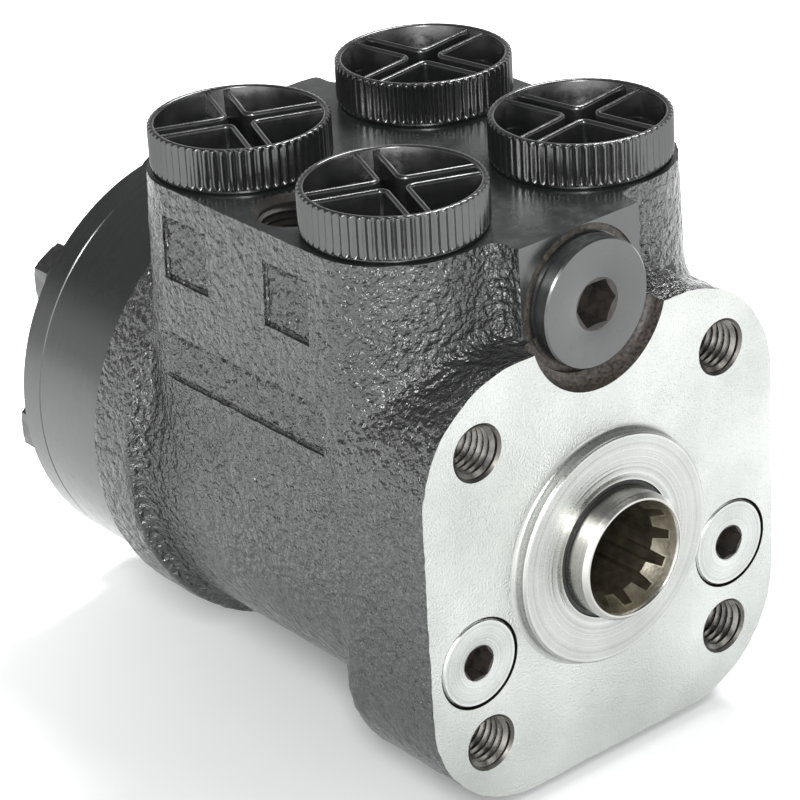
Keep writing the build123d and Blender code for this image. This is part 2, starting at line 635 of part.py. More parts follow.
def distributor_plate():
    """Plate with one hole and one radial channel for each chamber of the gear set."""
    plate = rod_y(0, 0, STACK_R, HOUSING_LENGTH, RING_FRONT_Y) - rod_y(0, 0, PLATE_HOLE_R, HOUSING_LENGTH - 1,
                                                                       RING_FRONT_Y + 1)
    for cutter in stack_holes(HOUSING_LENGTH, RING_FRONT_Y):
        plate -= cutter
    inner_r = (SPOOL_R + SLEEVE_R) / 2
    for angle in around(RING_LOBES, FIRST_LOBE_ANGLE + 180 / RING_LOBES):
        x, z = on_circle(inner_r, angle)
        plate -= rod_y(x, z, PLATE_SLOT_WIDTH / 2, HOUSING_LENGTH - 1, RING_FRONT_Y + 1)
        slot = Pos((inner_r + PLATE_SLOT_OUTER_R) / 2, 0) * Rectangle(PLATE_SLOT_OUTER_R - inner_r,
                                                                     PLATE_SLOT_WIDTH)
        plate -= across_y(Rot(0, 0, angle) * slot, RING_FRONT_Y - PLATE_SLOT_DEPTH, RING_FRONT_Y + 1)
    return plate


def gear_ring():
    """Outer gear: a round ring with seven round lobes that stand inwards."""
    pocket_r = LOBE_CIRCLE_R - LOBE_R + 2 * ECCENTRICITY + POCKET_CLEARANCE
    profile = Circle(STACK_R) - Circle(pocket_r)
    for angle in around(RING_LOBES, FIRST_LOBE_ANGLE):
        x, z = on_circle(LOBE_CIRCLE_R, angle)
        profile += Pos(x, z) * Circle(LOBE_R)
    ring = across_y(profile, RING_FRONT_Y, COVER_FRONT_Y)
    for cutter in stack_holes(RING_FRONT_Y, COVER_FRONT_Y):
        ring -= cutter
    ring -= o_ring_groove(RING_FRONT_Y)
    ring -= o_ring_groove(COVER_FRONT_Y - O_RING_GROOVE_DEPTH)
    return ring


def rotor_outline():
    """Inner gear outline, about its own centre.

    A lobe centre of the ring, seen from the rotor, runs along
    w(t) = Rc e^(it) - e e^(i(drop - 7 first)) e^(7it). The tooth form is that path moved
    inwards, along its normal, by the lobe radius and the running clearance. The points stand
    closer in t at the valleys, where the tooth form runs fastest.
    """
    phase = radians(ROTOR_DROP - RING_LOBES * FIRST_LOBE_ANGLE)
    inset = LOBE_R + ROTOR_CLEARANCE
    n = RING_LOBES
    count = ROTOR_OUTLINE_POINTS * (n - 1)
    points = []
    for k in range(count):
        turn = 2 * pi * k / count
        t = turn - ROTOR_OUTLINE_EVENING * sin((n - 1) * turn)
        x = LOBE_CIRCLE_R * cos(t) - ECCENTRICITY * cos(phase + n * t)
        z = LOBE_CIRCLE_R * sin(t) - ECCENTRICITY * sin(phase + n * t)
        dx = -LOBE_CIRCLE_R * sin(t) + n * ECCENTRICITY * sin(phase + n * t)
        dz = LOBE_CIRCLE_R * cos(t) - n * ECCENTRICITY * cos(phase + n * t)
        length = sqrt(dx ** 2 + dz ** 2)
        points.append((x - inset * dz / length, z + inset * dx / length))
    return make_face(Spline(*points, periodic=True))


def rotor():
    """Inner gear with six lobes and an internal spline for the cardan shaft."""
    y0, y1 = RING_FRONT_Y + END_CLEARANCE, COVER_FRONT_Y - END_CLEARANCE
    body = across_y(Pos(0, ROTOR_Z) * rotor_outline(), y0, y1)
    spline = socket_spline(SPLINE_TIP_GAP_R, SPLINE_MAJOR_R, SPLINE_PITCH_R, 1.0, y0 - 1, y1 + 1)
    return body - Pos(0, 0, ROTOR_Z) * spline


def rotor_spacer():
    """Disc between the end of the cardan shaft and the end cover."""
    y1 = COVER_FRONT_Y - END_CLEARANCE
    return rod_y(0, ROTOR_Z, SPACER_R, y1 - SPACER_THICK, y1)


def cardan_shaft():
    """Drive shaft with a fork for the cross pin and a splined head for the rotor."""
    front, back = -FORK_FRONT, FORK_BACK
    head_end = CARDAN_LENGTH + CARDAN_TEETH_LENGTH / 2
    head_start = CARDAN_LENGTH - CARDAN_TEETH_LENGTH / 2
    outline = [(0, front), (FORK_R - 1, front), (FORK_R, front + 1), (FORK_R, back - 1), (CARDAN_R, back + 2),
               (CARDAN_R, head_start), (0, head_start)]
    body = revolve(make_face(Plane.XZ * Polyline(*outline, close=True)), Axis.Z, 360)
    root_r = SPLINE_TIP_GAP_R - SPLINE_SWING
    tip_r = SPLINE_MAJOR_R - SPLINE_SWING
    body += Pos(0, 0, head_start) * shaft_spline(root_r, tip_r, SPLINE_PITCH_R, SPLINE_SWING,
                                                 head_end - head_start)
    slot_end = PIN_R + FORK_END_CLEARANCE
    slot_high = 2 * (PIN_R + FORK_SIDE_CLEARANCE)
    body -= Pos(0, 0, (slot_end + front - 1) / 2) * Box(4 * FORK_R, slot_high, slot_end - front + 1)
    return Pos(0, PIN_Y, 0) * Rot(-90 - CARDAN_TILT, 0, 0) * body


def end_cover():
    cover = turned(0, 0, [(0, COVER_FRONT_Y), (STACK_R - 0.4, COVER_FRONT_Y), (STACK_R, COVER_FRONT_Y + 0.4),
                          (STACK_R, COVER_REAR_Y - 0.8), (STACK_R - 0.8, COVER_REAR_Y), (0, COVER_REAR_Y)])
    for cutter in stack_holes(COVER_FRONT_Y, COVER_REAR_Y):
        cover -= cutter
    return cover


def cover_screw(angle):
    """Hexagon screw from behind the end cover into the housing."""
    x, z = on_circle(SCREW_CIRCLE_R, angle)
    seat = COVER_REAR_Y + WASHER_THICK
    shank = rod_y(x, z, SCREW_R, HOUSING_LENGTH - SCREW_GRIP, seat + 1)
    return shank + hexagon_y(x, z, SCREW_HEAD_FLATS, seat, seat + SCREW_HEAD_HIGH)


def cover_screws():
    return Compound(children=[cover_screw(a) for a in around(RING_LOBES, FIRST_LOBE_ANGLE)[1:]])


def pinned_screw():
    """The one cover screw whose long pin keeps a check ball from leaving its hole."""
    angle = around(RING_LOBES, FIRST_LOBE_ANGLE)[0]
    x, z = on_circle(SCREW_CIRCLE_R, angle)
    tip = HOUSING_LENGTH - SCREW_GRIP
    return cover_screw(angle) + rod_y(x, z, PINNED_PIN_R, tip - PINNED_PIN_LENGTH, tip + 1)


def cover_washers():
    washers = []
    for angle in around(RING_LOBES, FIRST_LOBE_ANGLE):
        x, z = on_circle(SCREW_CIRCLE_R, angle)
        ring = Circle(WASHER_R) - Circle(SCREW_R + SCREW_HOLE_CLEARANCE)
        washers.append(across_y(Pos(x, z) * ring, COVER_REAR_Y, COVER_REAR_Y + WASHER_THICK))
    return Compound(children=washers)


def stack_o_rings():
    """O-rings in the faces of the housing and the gear ring."""
    rings = []
    r = O_RING_SECTION_R - O_RING_CLEARANCE
    half = O_RING_GROOVE_DEPTH / 2
    for y in (HOUSING_LENGTH - half, RING_FRONT_Y + half, COVER_FRONT_Y - half):
        rings.append(Pos(0, y, 0) * Rot(90, 0, 0) * Torus(O_RING_R, r))
    return Compound(children=rings)


# ---------------------------------------------------------------- relief valve

def relief_plug():
    """Flanged screw plug with a hexagon socket."""
    y0, y1 = RELIEF_PLUG_FACE_Y, RELIEF_PLUG_FACE_Y + RELIEF_PLUG_FLANGE
    end = RELIEF_THREAD_END_Y - 1
    thread = RELIEF_THREAD_R - 0.02
    plug = turned(0, RELIEF_Z, [(0, y0), (RELIEF_PLUG_R - 0.3, y0), (RELIEF_PLUG_R, y0 + 0.3),
                                (RELIEF_PLUG_R, y1), (thread, y1), (thread, end - 0.8), (thread - 0.8, end),
                                (0, end)])
    plug -= hexagon_y(0, RELIEF_Z, RELIEF_SOCKET_FLATS, y0 - 1, y0 + RELIEF_SOCKET_DEPTH)
    depth = RELIEF_SOCKET_CHAMFER_R - RELIEF_SOCKET_FLATS / 2
    plug -= turned(0, RELIEF_Z, [(0, y0 - 0.1), (RELIEF_SOCKET_CHAMFER_R, y0 - 0.1),
                                 (RELIEF_SOCKET_CHAMFER_R, y0), (RELIEF_SOCKET_CHAMFER_R - depth, y0 + depth / 2),
                                 (0, y0 + depth / 2)])
    return plug


def relief_seal():
    y0 = RELIEF_PLUG_FACE_Y + RELIEF_PLUG_FLANGE
    return across_y(Pos(0, RELIEF_Z) * (Circle(SEAL_WASHER_R) - Circle(RELIEF_THREAD_R)), y0, TONGUE_FRONT_Y)


def relief_adjuster():
    """Threaded sleeve that sets the spring load."""
    y0 = RELIEF_THREAD_END_Y
    body = rod_y(0, RELIEF_Z, RELIEF_BORE_R - RELIEF_FIT, y0, y0 + ADJUSTER_LENGTH)
    return body - hexagon_y(0, RELIEF_Z, ADJUSTER_SOCKET_FLATS, y0 - 1, y0 + ADJUSTER_LENGTH / 2)


def relief_seat_y():
    return RELIEF_BORE_END_Y - RELIEF_SEAT_LENGTH


def poppet_shoulder_y():
    return relief_seat_y() - TOUCH_GAP - RELIEF_POPPET_LENGTH / 2


def relief_spring():
    """Coil spring, drawn as the band that its wire fills."""
    y0 = RELIEF_THREAD_END_Y + ADJUSTER_LENGTH
    ring = Circle(RELIEF_POPPET_R) - Circle(RELIEF_POPPET_R - SPRING_WIRE_BAND)
    return across_y(Pos(0, RELIEF_Z) * ring, y0, poppet_shoulder_y())


def relief_poppet():
    """Guided cone with a spigot inside the spring."""
    shoulder = poppet_shoulder_y()
    seat = relief_seat_y() - TOUCH_GAP
    stem = RELIEF_POPPET_R - SPRING_WIRE_BAND - 0.1
    collar = RELIEF_POPPET_R + 1
    hole = RELIEF_DRILL_R
    return turned(0, RELIEF_Z, [(0, shoulder - 3), (stem, shoulder - 3), (stem, shoulder),
                                (collar, shoulder), (collar, shoulder + 2), (hole + 0.4, seat),
                                (hole - 0.4, seat + 0.8), (0, seat + 0.8)])


def relief_seat():
    """Bush with a coned seat for the poppet."""
    y0 = relief_seat_y()
    hole = RELIEF_DRILL_R - 0.4
    outer = RELIEF_BORE_R - RELIEF_FIT
    return turned(0, RELIEF_Z, [(hole, y0 + 0.8), (hole + 0.8, y0), (outer, y0), (outer, RELIEF_BORE_END_Y),
                                (hole, RELIEF_BORE_END_Y)])


# ---------------------------------------------------------------- shock, check and suction valves

def shock_plug(side):
    """Flush screw plug with a hexagon socket in the flange face."""
    x, r = side * SHOCK_X, SHOCK_PLUG_R
    plug = turned(x, SHOCK_Z, [(0, 0), (r - 0.3, 0), (r, 0.3), (r, SHOCK_HOLE_DEPTH), (0, SHOCK_HOLE_DEPTH)])
    plug -= hexagon_y(x, SHOCK_Z, SHOCK_SOCKET_FLATS, -1, SHOCK_SOCKET_DEPTH)
    depth = SHOCK_SOCKET_CHAMFER_R - SHOCK_SOCKET_FLATS / 2
    plug -= turned(x, SHOCK_Z, [(0, -0.1), (SHOCK_SOCKET_CHAMFER_R, -0.1), (SHOCK_SOCKET_CHAMFER_R, 0),
                                (SHOCK_SOCKET_CHAMFER_R - depth, depth / 2), (0, depth / 2)])
    return plug


def shock_spring(side):
    """Coil spring, drawn as the band that its wire fills."""
    inner = SHOCK_BALL_R - 1
    contact_y = SHOCK_BALL_Y - sqrt(SHOCK_BALL_R ** 2 - inner ** 2) - TOUCH_GAP
    ring = Circle(inner + SPRING_WIRE_BAND) - Circle(inner)
    return across_y(Pos(side * SHOCK_X, SHOCK_Z) * ring, SHOCK_HOLE_DEPTH, contact_y)


def shock_ball(side):
    return Pos(side * SHOCK_X, SHOCK_BALL_Y, SHOCK_Z) * Sphere(SHOCK_BALL_R)


def ball_radius(port):
    return CHECK_BALL_R if port == "front_right" else SUCTION_BALL_R


def port_ball(port):
    """Ball that rests on the edge of the drilling below its port."""
    x, y = port_places()[port]
    r = ball_radius(port)
    return Pos(x, y, BALL_CHAMBER_Z + sqrt(r ** 2 - BALL_DRILL_R ** 2) + TOUCH_GAP) * Sphere(r)


def check_bush():
    """Screwed bush above the check ball in the pump port."""
    x, y = port_places()["front_right"]
    outer = CHECK_BALL_R + BALL_SIDE_CLEARANCE - 0.02
    top = PORT_FACE_Z - PORT_DEPTH
    return extrude(Pos(x, y, BALL_CHAMBER_TOP_Z) * (Circle(outer) - Circle(CHECK_BUSH_HOLE_R)),
                   amount=top - BALL_CHAMBER_TOP_Z)


def suction_pins():
    """Roll pins across the chambers of the two suction balls."""
    pins = []
    half = sqrt((SUCTION_BALL_R + BALL_SIDE_CLEARANCE) ** 2 - SUCTION_PIN_R ** 2) - TOUCH_GAP
    for port in ("rear_left", "rear_right"):
        x, y = port_places()[port]
        pins.append(rod_y(x, BALL_CHAMBER_TOP_Z, SUCTION_PIN_R, y - half, y + half))
    return Compound(children=pins)


# ---------------------------------------------------------------- port caps

def port_cap(port):
    """Hollow plastic screw plug: grip rim, four pockets round a double-ribbed cross, shank."""
    x, y = port_places()[port]
    turn = CAP_TURNS[port]
    rim = Pos(0, 0, CAP_GRIP_Z) * extrude(Circle(CAP_R), amount=CAP_TOP_Z - CAP_GRIP_Z)
    foot_top = PORT_FACE_Z + CAP_FOOT_HIGH
    cap = rim + Pos(0, 0, foot_top) * extrude(Circle(CAP_LIP_R), amount=CAP_GRIP_Z - foot_top)
    cap += Pos(0, 0, PORT_FACE_Z) * extrude(Circle(CAP_FOOT_R), amount=CAP_FOOT_HIGH)
    half = CAP_RIB_CHANNEL / 2 + CAP_RIB
    inner = CAP_R - CAP_WALL
    quadrant = Circle(inner) & Pos(half + inner / 2, half + inner / 2) * Rectangle(inner, inner)
    quadrant = fillet(quadrant.vertices(), CAP_POCKET_CORNER_R)
    floor_z = CAP_GRIP_Z + CAP_FLOOR
    for angle in around(4, turn):
        cap -= Rot(0, 0, angle) * Pos(0, 0, floor_z) * extrude(quadrant, amount=CAP_TOP_Z)
    channel = Rectangle(2 * inner, CAP_RIB_CHANNEL) + Rectangle(CAP_RIB_CHANNEL, 2 * inner)
    channel = channel & Circle(inner)
    cap -= Rot(0, 0, turn) * Pos(0, 0, floor_z) * extrude(channel, amount=CAP_TOP_Z)
    cap -= Pos(0, 0, CAP_TOP_Z - CAP_RIB_DROP) * extrude(Circle(inner), amount=1)
    shank = Circle(CAP_SHANK_R) - Circle(CAP_SHANK_R - CAP_SHANK_WALL)
    cap += Pos(0, 0, PORT_FACE_Z - CAP_SHANK_LENGTH) * extrude(shank, amount=CAP_SHANK_LENGTH + 1)
    return Pos(x, y, 0) * cap


def nodes():
    """Every sub-part of the unit, by name."""
    race_2_y = BEARING_Y + RACE_THICK + 2 * NEEDLE_R + 2 * END_CLEARANCE
    parts = {
        "housing": housing(),
        "spool": spool(),
        "sleeve": sleeve(),
        "cross_pin": cross_pin(),
        "neutral_springs": neutral_springs(),
        "spring_ring": spring_ring(),
        "bearing_race_front": bearing_race(BEARING_Y),
        "needle_cage": needle_cage(),
        "bearing_race_rear": bearing_race(race_2_y),
        "dust_seal": dust_seal(),
        "shaft_seal": shaft_seal(),
        "distributor_plate": distributor_plate(),
        "gear_ring": gear_ring(),
        "rotor": rotor(),
        "rotor_spacer": rotor_spacer(),
        "cardan_shaft": cardan_shaft(),
        "end_cover": end_cover(),
        "cover_screws": cover_screws(),
        "pinned_screw": pinned_screw(),
        "cover_washers": cover_washers(),
        "stack_o_rings": stack_o_rings(),
        "relief_plug": relief_plug(),
        "relief_seal": relief_seal(),
        "relief_adjuster": relief_adjuster(),
        "relief_spring": relief_spring(),
        "relief_poppet": relief_poppet(),
        "relief_seat": relief_seat(),
        "check_ball": port_ball("front_right"),
        "check_bush": check_bush(),
        "suction_ball_left": port_ball("rear_left"),
        "suction_ball_right": port_ball("rear_right"),
        "suction_pins": suction_pins(),
    }
    for name, side in (("left", -1), ("right", 1)):
        parts["shock_plug_" + name] = shock_plug(side)
        parts["shock_spring_" + name] = shock_spring(side)
        parts["shock_ball_" + name] = shock_ball(side)
    for port in port_places():
        parts["port_cap_" + port] = port_cap(port)
    return parts


os.makedirs("parts", exist_ok=True)
for node, shape in nodes().items():
    export_step(shape, "parts/" + node + ".step")
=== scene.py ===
import math
import bpy
import bmesh
import numpy as np
from mathutils import Matrix, Vector


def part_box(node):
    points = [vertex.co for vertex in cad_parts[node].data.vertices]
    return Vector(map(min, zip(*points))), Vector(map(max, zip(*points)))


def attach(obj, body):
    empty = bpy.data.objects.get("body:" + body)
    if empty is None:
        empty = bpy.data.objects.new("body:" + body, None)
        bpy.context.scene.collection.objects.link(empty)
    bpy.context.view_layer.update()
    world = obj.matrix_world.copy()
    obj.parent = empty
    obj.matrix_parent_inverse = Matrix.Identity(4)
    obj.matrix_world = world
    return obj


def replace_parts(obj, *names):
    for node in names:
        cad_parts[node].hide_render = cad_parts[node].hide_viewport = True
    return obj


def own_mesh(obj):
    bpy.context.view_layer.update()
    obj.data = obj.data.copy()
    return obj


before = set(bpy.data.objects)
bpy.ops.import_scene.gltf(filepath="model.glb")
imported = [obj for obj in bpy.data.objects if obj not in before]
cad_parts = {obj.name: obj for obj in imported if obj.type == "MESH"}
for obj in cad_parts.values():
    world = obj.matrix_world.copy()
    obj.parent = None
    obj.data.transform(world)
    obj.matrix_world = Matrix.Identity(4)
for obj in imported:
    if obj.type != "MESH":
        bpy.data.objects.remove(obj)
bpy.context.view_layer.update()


# Iron housing casting. Grey iron poured in a sand mould: drafted port block, valve barrel, column
# flange and rear flange run into each other with soft fillets and keep the sand's orange-peel grain.
# Sizes are in millimetres, from the column flange's face along Y and from the shaft's axis in X and Z.
port_face, stock_top, tongue_front, tongue_root, rear_face = 61.0, 63.0, 4.6, 43.4, 99.07
block_half, block_middle, block_corner = 39.8, 50.0, 17.8
wall_slope = math.tan(math.radians(2.0))
tongue_half, barrel_radius, pilot_stock_radius, rear_flange_radius = 14.4, 42.3, 27.0, 45.6
flange_half_width, flange_half_height, flange_corner = 42.2, 43.1, 23.0
edge_spread, fillet_spread = 0.7, 2.1
sand_skin = 0.16
cell = 0.8
low_corner, high_corner = np.array([-48.0, -6.4, -48.0]), (48.8, 104.0, 66.0)


def rounded_rectangle(u, v, half_u, half_v, radius):
    """Distance to a rectangle with round corners: distance to the inner rectangle, less the corner radius."""
    across, along = np.abs(u) - (half_u - radius), np.abs(v) - (half_v - radius)
    outside = np.hypot(np.maximum(across, 0), np.maximum(along, 0))
    return outside + np.minimum(np.maximum(across, along), 0) - radius


def between(place, start, end):
    """Distance to the layer from start to end: distance to its middle, less half its thickness."""
    return np.abs(place - (start + end) / 2) - (end - start) / 2


def softened(field, spread):
    """The field averaged along each axis with bell-shaped weights, which rounds its sharp edges."""
    reach = int(math.ceil(3 * spread))
    weights = np.exp(-0.5 * (np.arange(-reach, reach + 1) / spread) ** 2)
    weights /= weights.sum()
    for axis in range(3):
        wide = np.pad(field, [(reach, reach) if a == axis else (0, 0) for a in range(3)], mode="edge")
        field = sum(w * np.take(wide, np.arange(i, i + field.shape[axis]), axis=axis)
                    for i, w in enumerate(weights))
    return field


def eight_corners(part, value_at):
    """Sum of the values at a cell's eight corners, each weighted by how near the point is to it."""
    total = np.zeros(len(part))
    for corner in np.ndindex(2, 2, 2):
        total += np.prod(np.where(corner, part, 1 - part), axis=1) * value_at(corner)
    return total


def sampled(field, points):
    """Value of a grid field at points given in cells."""
    base = np.clip(np.floor(points).astype(int), 0, np.array(field.shape) - 2)
    return eight_corners(points - base, lambda corner: field[tuple((base + corner).T)])


def slope(field, points):
    """Direction in which the field grows fastest, from differences of half a cell each way."""
    steps = np.eye(3) * 0.5
    rise = np.stack([sampled(field, points + s) - sampled(field, points - s) for s in steps], axis=1)
    return rise / np.linalg.norm(rise, axis=1, keepdims=True)


def net_surface(field):
    """Closed surface where the field is zero: one point in every crossed cell, at the mean of the
    crossings on its edges, and one quad across every crossed grid edge."""
    inside = field < 0
    corners = [inside[tuple(slice(c, c - 1 or None) for c in corner)] for corner in np.ndindex(2, 2, 2)]
    held = sum(c.astype(np.int8) for c in corners)
    mixed = (held > 0) & (held < 8)
    cells = np.argwhere(mixed)
    number = np.full(mixed.shape, -1)
    number[mixed] = np.arange(len(cells))
    total, count, quads = np.zeros(cells.shape), np.zeros(len(cells)), []
    for axis in range(3):
        ahead, side, rise = np.roll(np.eye(3, dtype=int), -axis, axis=0)
        for a, b in np.ndindex(2, 2):
            start = cells + a * side + b * rise
            near, far = field[tuple(start.T)], field[tuple((start + ahead).T)]
            crossed = (near < 0) != (far < 0)
            share = np.where(crossed, near / np.where(crossed, near - far, 1), 0)
            total += crossed[:, None] * (start + share[:, None] * ahead)
            count += crossed
        cut = [slice(None, -1) if ahead[k] else slice(1, -1) for k in range(3)]
        after = [slice(1, None) if ahead[k] else slice(1, -1) for k in range(3)]
        leaving = inside[tuple(cut)] & ~inside[tuple(after)]
        entering = ~inside[tuple(cut)] & inside[tuple(after)]
        for crossing, order in ((leaving, 1), (entering, -1)):
            at = np.argwhere(crossing) + 1 - ahead
            ring = [at, at - side, at - side - rise, at - rise]
            quads.append(np.stack([number[tuple(r.T)] for r in ring], axis=1)[:, ::order])
    return total / count[:, None], np.concatenate(quads)


def sand_grain(points, size, seed):
    """Smooth random height at each point: random values on a lattice of that size, eased between."""
    values = np.random.default_rng(seed).uniform(-1, 1, (64, 64, 64))
    place = points / size + 1000.0
    base = np.floor(place).astype(int)
    part = place - base
    eased = part * part * (3 - 2 * part)
    return eight_corners(eased, lambda corner: values[tuple(((base + corner) % 64).T)])


def new_piece(name, points, faces):
    """Mesh object from points in millimetres and lists of faces, with its place in its mesh."""
    mesh = bpy.data.meshes.new(name)
    mesh.from_pydata((np.asarray(points) * 0.001).tolist(), [], faces)
    mesh.update()
    piece = bpy.data.objects.new(name, mesh)
    bpy.context.scene.collection.objects.link(piece)
    return piece


axes = [np.arange(low, high, cell) for low, high in zip(low_corner, high_corner)]
x, y, z = np.meshgrid(*axes, indexing="ij")
off_axis = np.hypot(x, z)
draft = np.maximum(port_face - z, port_face - stock_top) * wall_slope
block_wall = rounded_rectangle(x, y - block_middle, block_half + draft, block_half + draft,
                               block_corner + draft)
tongue = np.maximum(np.abs(x) - tongue_half, between(y, 3.6, 96.0))
port_block = np.maximum(np.maximum(np.minimum(block_wall, tongue), -z), z - stock_top)
valve_barrel = np.maximum(off_axis - barrel_radius, between(y, 5, 95))
column_flange = np.maximum(rounded_rectangle(x, z, flange_half_width, flange_half_height, flange_corner),
                           between(y, -2, 25))
pilot_stock = np.maximum(off_axis - pilot_stock_radius, between(y, -4.5, 4.5))
rear_flange = np.maximum(off_axis - rear_flange_radius, between(y, 84, 102))
solid = np.minimum.reduce([port_block, valve_barrel, column_flange, pilot_stock, rear_flange])
solid = np.minimum(softened(solid, edge_spread), softened(solid, fillet_spread))
points, quads = net_surface(solid)
for _ in range(3):
    points -= sampled(solid, points)[:, None] / cell * slope(solid, points)
outward = slope(solid, points)
points = points * cell + low_corner
height = sum(rise * sand_grain(points, size, seed)
             for rise, size, seed in ((0.13, 2.3, 1), (0.10, 1.5, 2), (0.08, 7.0, 3)))
points += outward * (height - sand_skin)[:, None]
casting = new_piece("housing_casting", points, quads.tolist())


# Machining of the casting: the flange face with its turned pilot, the port face, the tongue's front,
# the rear face, and every bore that opens outside, each cut by its own tool.
pilot_radius, pilot_height, pilot_chamfer, pilot_foot = 22.2, 2.6, 0.4, 1.0
rear_spigot_radius, rear_shoulder, past_flange = 43.7, 97.07, 46.8
relief_z = 47.34
pocket_radius, pocket_depth, seat_radius, seat_depth, plug_bore = 16.0, 3.8, 13.6, 5.1, 10.0
shock_x, shock_z = 30.93, -11.95
column_hole, column_bore = 29.168, 5.0
port_places = {"front_left": (-22, 28), "front_right": (22, 28),
               "rear_left": (-22, 72), "rear_right": (22, 72)}
ball_chambers = {"front_left": (5.0, 20), "front_right": (4.5, 31),
                 "rear_left": (4.0, 31), "rear_right": (4.0, 31)}
port_bore, signal_bore, signal_place = 10.48, 6.58, (-29.6, 46.7)
sunk_panels = ((60.3, 73.5, 43.0, 55.4, 0.45), (30.8, 43.6, 43.0, 55.4, 0.45),
               (28.0, 78.5, 22.7, 32.2, 0.35))


def smoothed(piece, sharp):
    """Shades the piece smooth, but for the edges past that angle in degrees."""
    piece.data.polygons.foreach_set("use_smooth", np.ones(len(piece.data.polygons), bool))
    piece.data.set_sharp_from_angle(angle=math.radians(sharp))
    return piece


def facing_out(piece, sharp=35):
    """Turns every face outwards and shades the piece smooth up to that angle in degrees."""
    work = bmesh.new()
    work.from_mesh(piece.data)
    bmesh.ops.recalc_face_normals(work, faces=work.faces)
    work.to_mesh(piece.data)
    work.free()
    return smoothed(piece, sharp)


def round_circle(steps):
    """Angles of that many points round a circle."""
    return np.arange(steps) * 2 * math.pi / steps


def wound(radius, angle, level):
    """Points at a radius, angle and level round the Z axis, row by row."""
    spread_out = np.broadcast_arrays(radius * np.cos(angle), radius * np.sin(angle), level)
    return np.stack(spread_out, axis=2).reshape(-1, 3)


def laid_along(points, centre, along):
    """Points made round Z, put round an axis along Y through (x, z) or along Z through (x, y)."""
    if along == "Y":
        return points[:, [0, 2, 1]] + (centre[0], 0, centre[1])
    return points + (centre[0], centre[1], 0)


def tube_faces(rows, columns, first=0, poles=False):
    """Faces of a tube whose points go round it row by row: quads between the rows, and at each end one
    face over the row, or a fan to that end's pole. The two poles follow the rows."""
    here = np.arange(rows * columns).reshape(rows, columns) + first
    side = np.roll(here, -1, axis=1)
    faces = np.stack([here[:-1], side[:-1], side[1:], here[1:]], axis=2).reshape(-1, 4).tolist()
    if not poles:
        return faces + [here[0].tolist(), here[-1, ::-1].tolist()]
    start_pole = rows * columns + first
    faces += [[start_pole, b, a] for a, b in zip(here[0].tolist(), side[0].tolist())]
    return faces + [[start_pole + 1, a, b] for a, b in zip(here[-1].tolist(), side[-1].tolist())]


def turned(outline, centre=(0, 0), along="Y", steps=96):
    """Cutter that is a solid of revolution: the outline (radius, place), which starts and ends on the
    axis, turned round an axis along Y through (x, z) or along Z through (x, y)."""
    radius, place = np.array(outline, float).T
    points = wound(radius[1:-1, None], round_circle(steps), place[1:-1, None])
    points = np.vstack([points, [[0, 0, place[0]], [0, 0, place[-1]]]])
    faces = tube_faces(len(radius) - 2, steps, poles=True)
    return facing_out(new_piece("cut", laid_along(points, centre, along), faces))


def stepped(start, *steps):
    """Outline of a stepped bore: from its start, the radius of each step and the place where it ends."""
    outline = [(0, start)]
    for radius, end in steps:
        outline += [(radius, outline[-1][1]), (radius, end)]
    return outline + [(0, outline[-1][1])]


def port_outline(mouth_radius, lead, *steps):
    """Outline of a port's tool: straight to just over the port face, a lead into the bore, and its steps."""
    lip = port_face + 0.2
    return [(0, stock_top), (mouth_radius, stock_top), (mouth_radius, lip)] + stepped(lip - lead, *steps)[1:]


def arc(centre, radius, degrees):
    """Points of an outline on a circle, at those angles."""
    return [(centre[0] + radius * math.cos(a), centre[1] + radius * math.sin(a)) for a in np.radians(degrees)]


def block(low, high):
    """Plain cutter box between two corners."""
    corners = np.array([[(low, high)[c][k] for k, c in enumerate(corner)] for corner in np.ndindex(2, 2, 2)])
    faces = [[0, 1, 3, 2], [4, 6, 7, 5], [0, 4, 5, 1], [2, 3, 7, 6], [0, 2, 6, 4], [1, 5, 7, 3]]
    return facing_out(new_piece("cut", corners, faces))


def sunk_panel(y_low, y_high, z_low, z_high, depth):
    """Height field on the drafted wall: depth, more along the border, less where two crossed sines rise,
    with a flat back outside the wall."""
    step, back, line, edge = 0.4, -50.0, 0.4, 0.9
    y, z = np.meshgrid(np.arange(y_low, y_high + step / 2, step), np.arange(z_low, z_high + step / 2, step))
    border = np.minimum(np.minimum(y - y_low, y_high - y), np.minimum(z - z_low, z_high - z))
    worn = np.sin(1.9 * y + 1.6 * np.sin(1.3 * z)) * np.sin(2.1 * z + 1.4 * np.sin(1.1 * y))
    bed = depth + 0.35 * np.exp(-((border - line) / 0.45) ** 2) - 0.22 * worn * (border > edge)
    wall = -block_half - (port_face - z) * wall_slope + sand_skin
    sides = (wall + bed, np.full(y.shape, back))
    points = np.concatenate([np.stack([level, y, z], axis=2) for level in sides])
    rows, columns = y.shape
    here = np.arange(2 * rows * columns).reshape(2, rows, columns)
    quads = [np.stack([s[:-1, :-1], s[1:, :-1], s[1:, 1:], s[:-1, 1:]], axis=2).reshape(-1, 4) for s in here]
    quads[1] = quads[1][:, ::-1]
    loop = np.concatenate([here[:, 0, :-1], here[:, :-1, -1], here[:, -1, :0:-1], here[:, :0:-1, 0]], axis=1)
    after = np.roll(loop, -1, axis=1)
    quads.append(np.stack([loop[0], after[0], after[1], loop[1]], axis=1))
    return facing_out(new_piece("cut", points.reshape(-1, 3), np.vstack(quads).tolist()), 50)


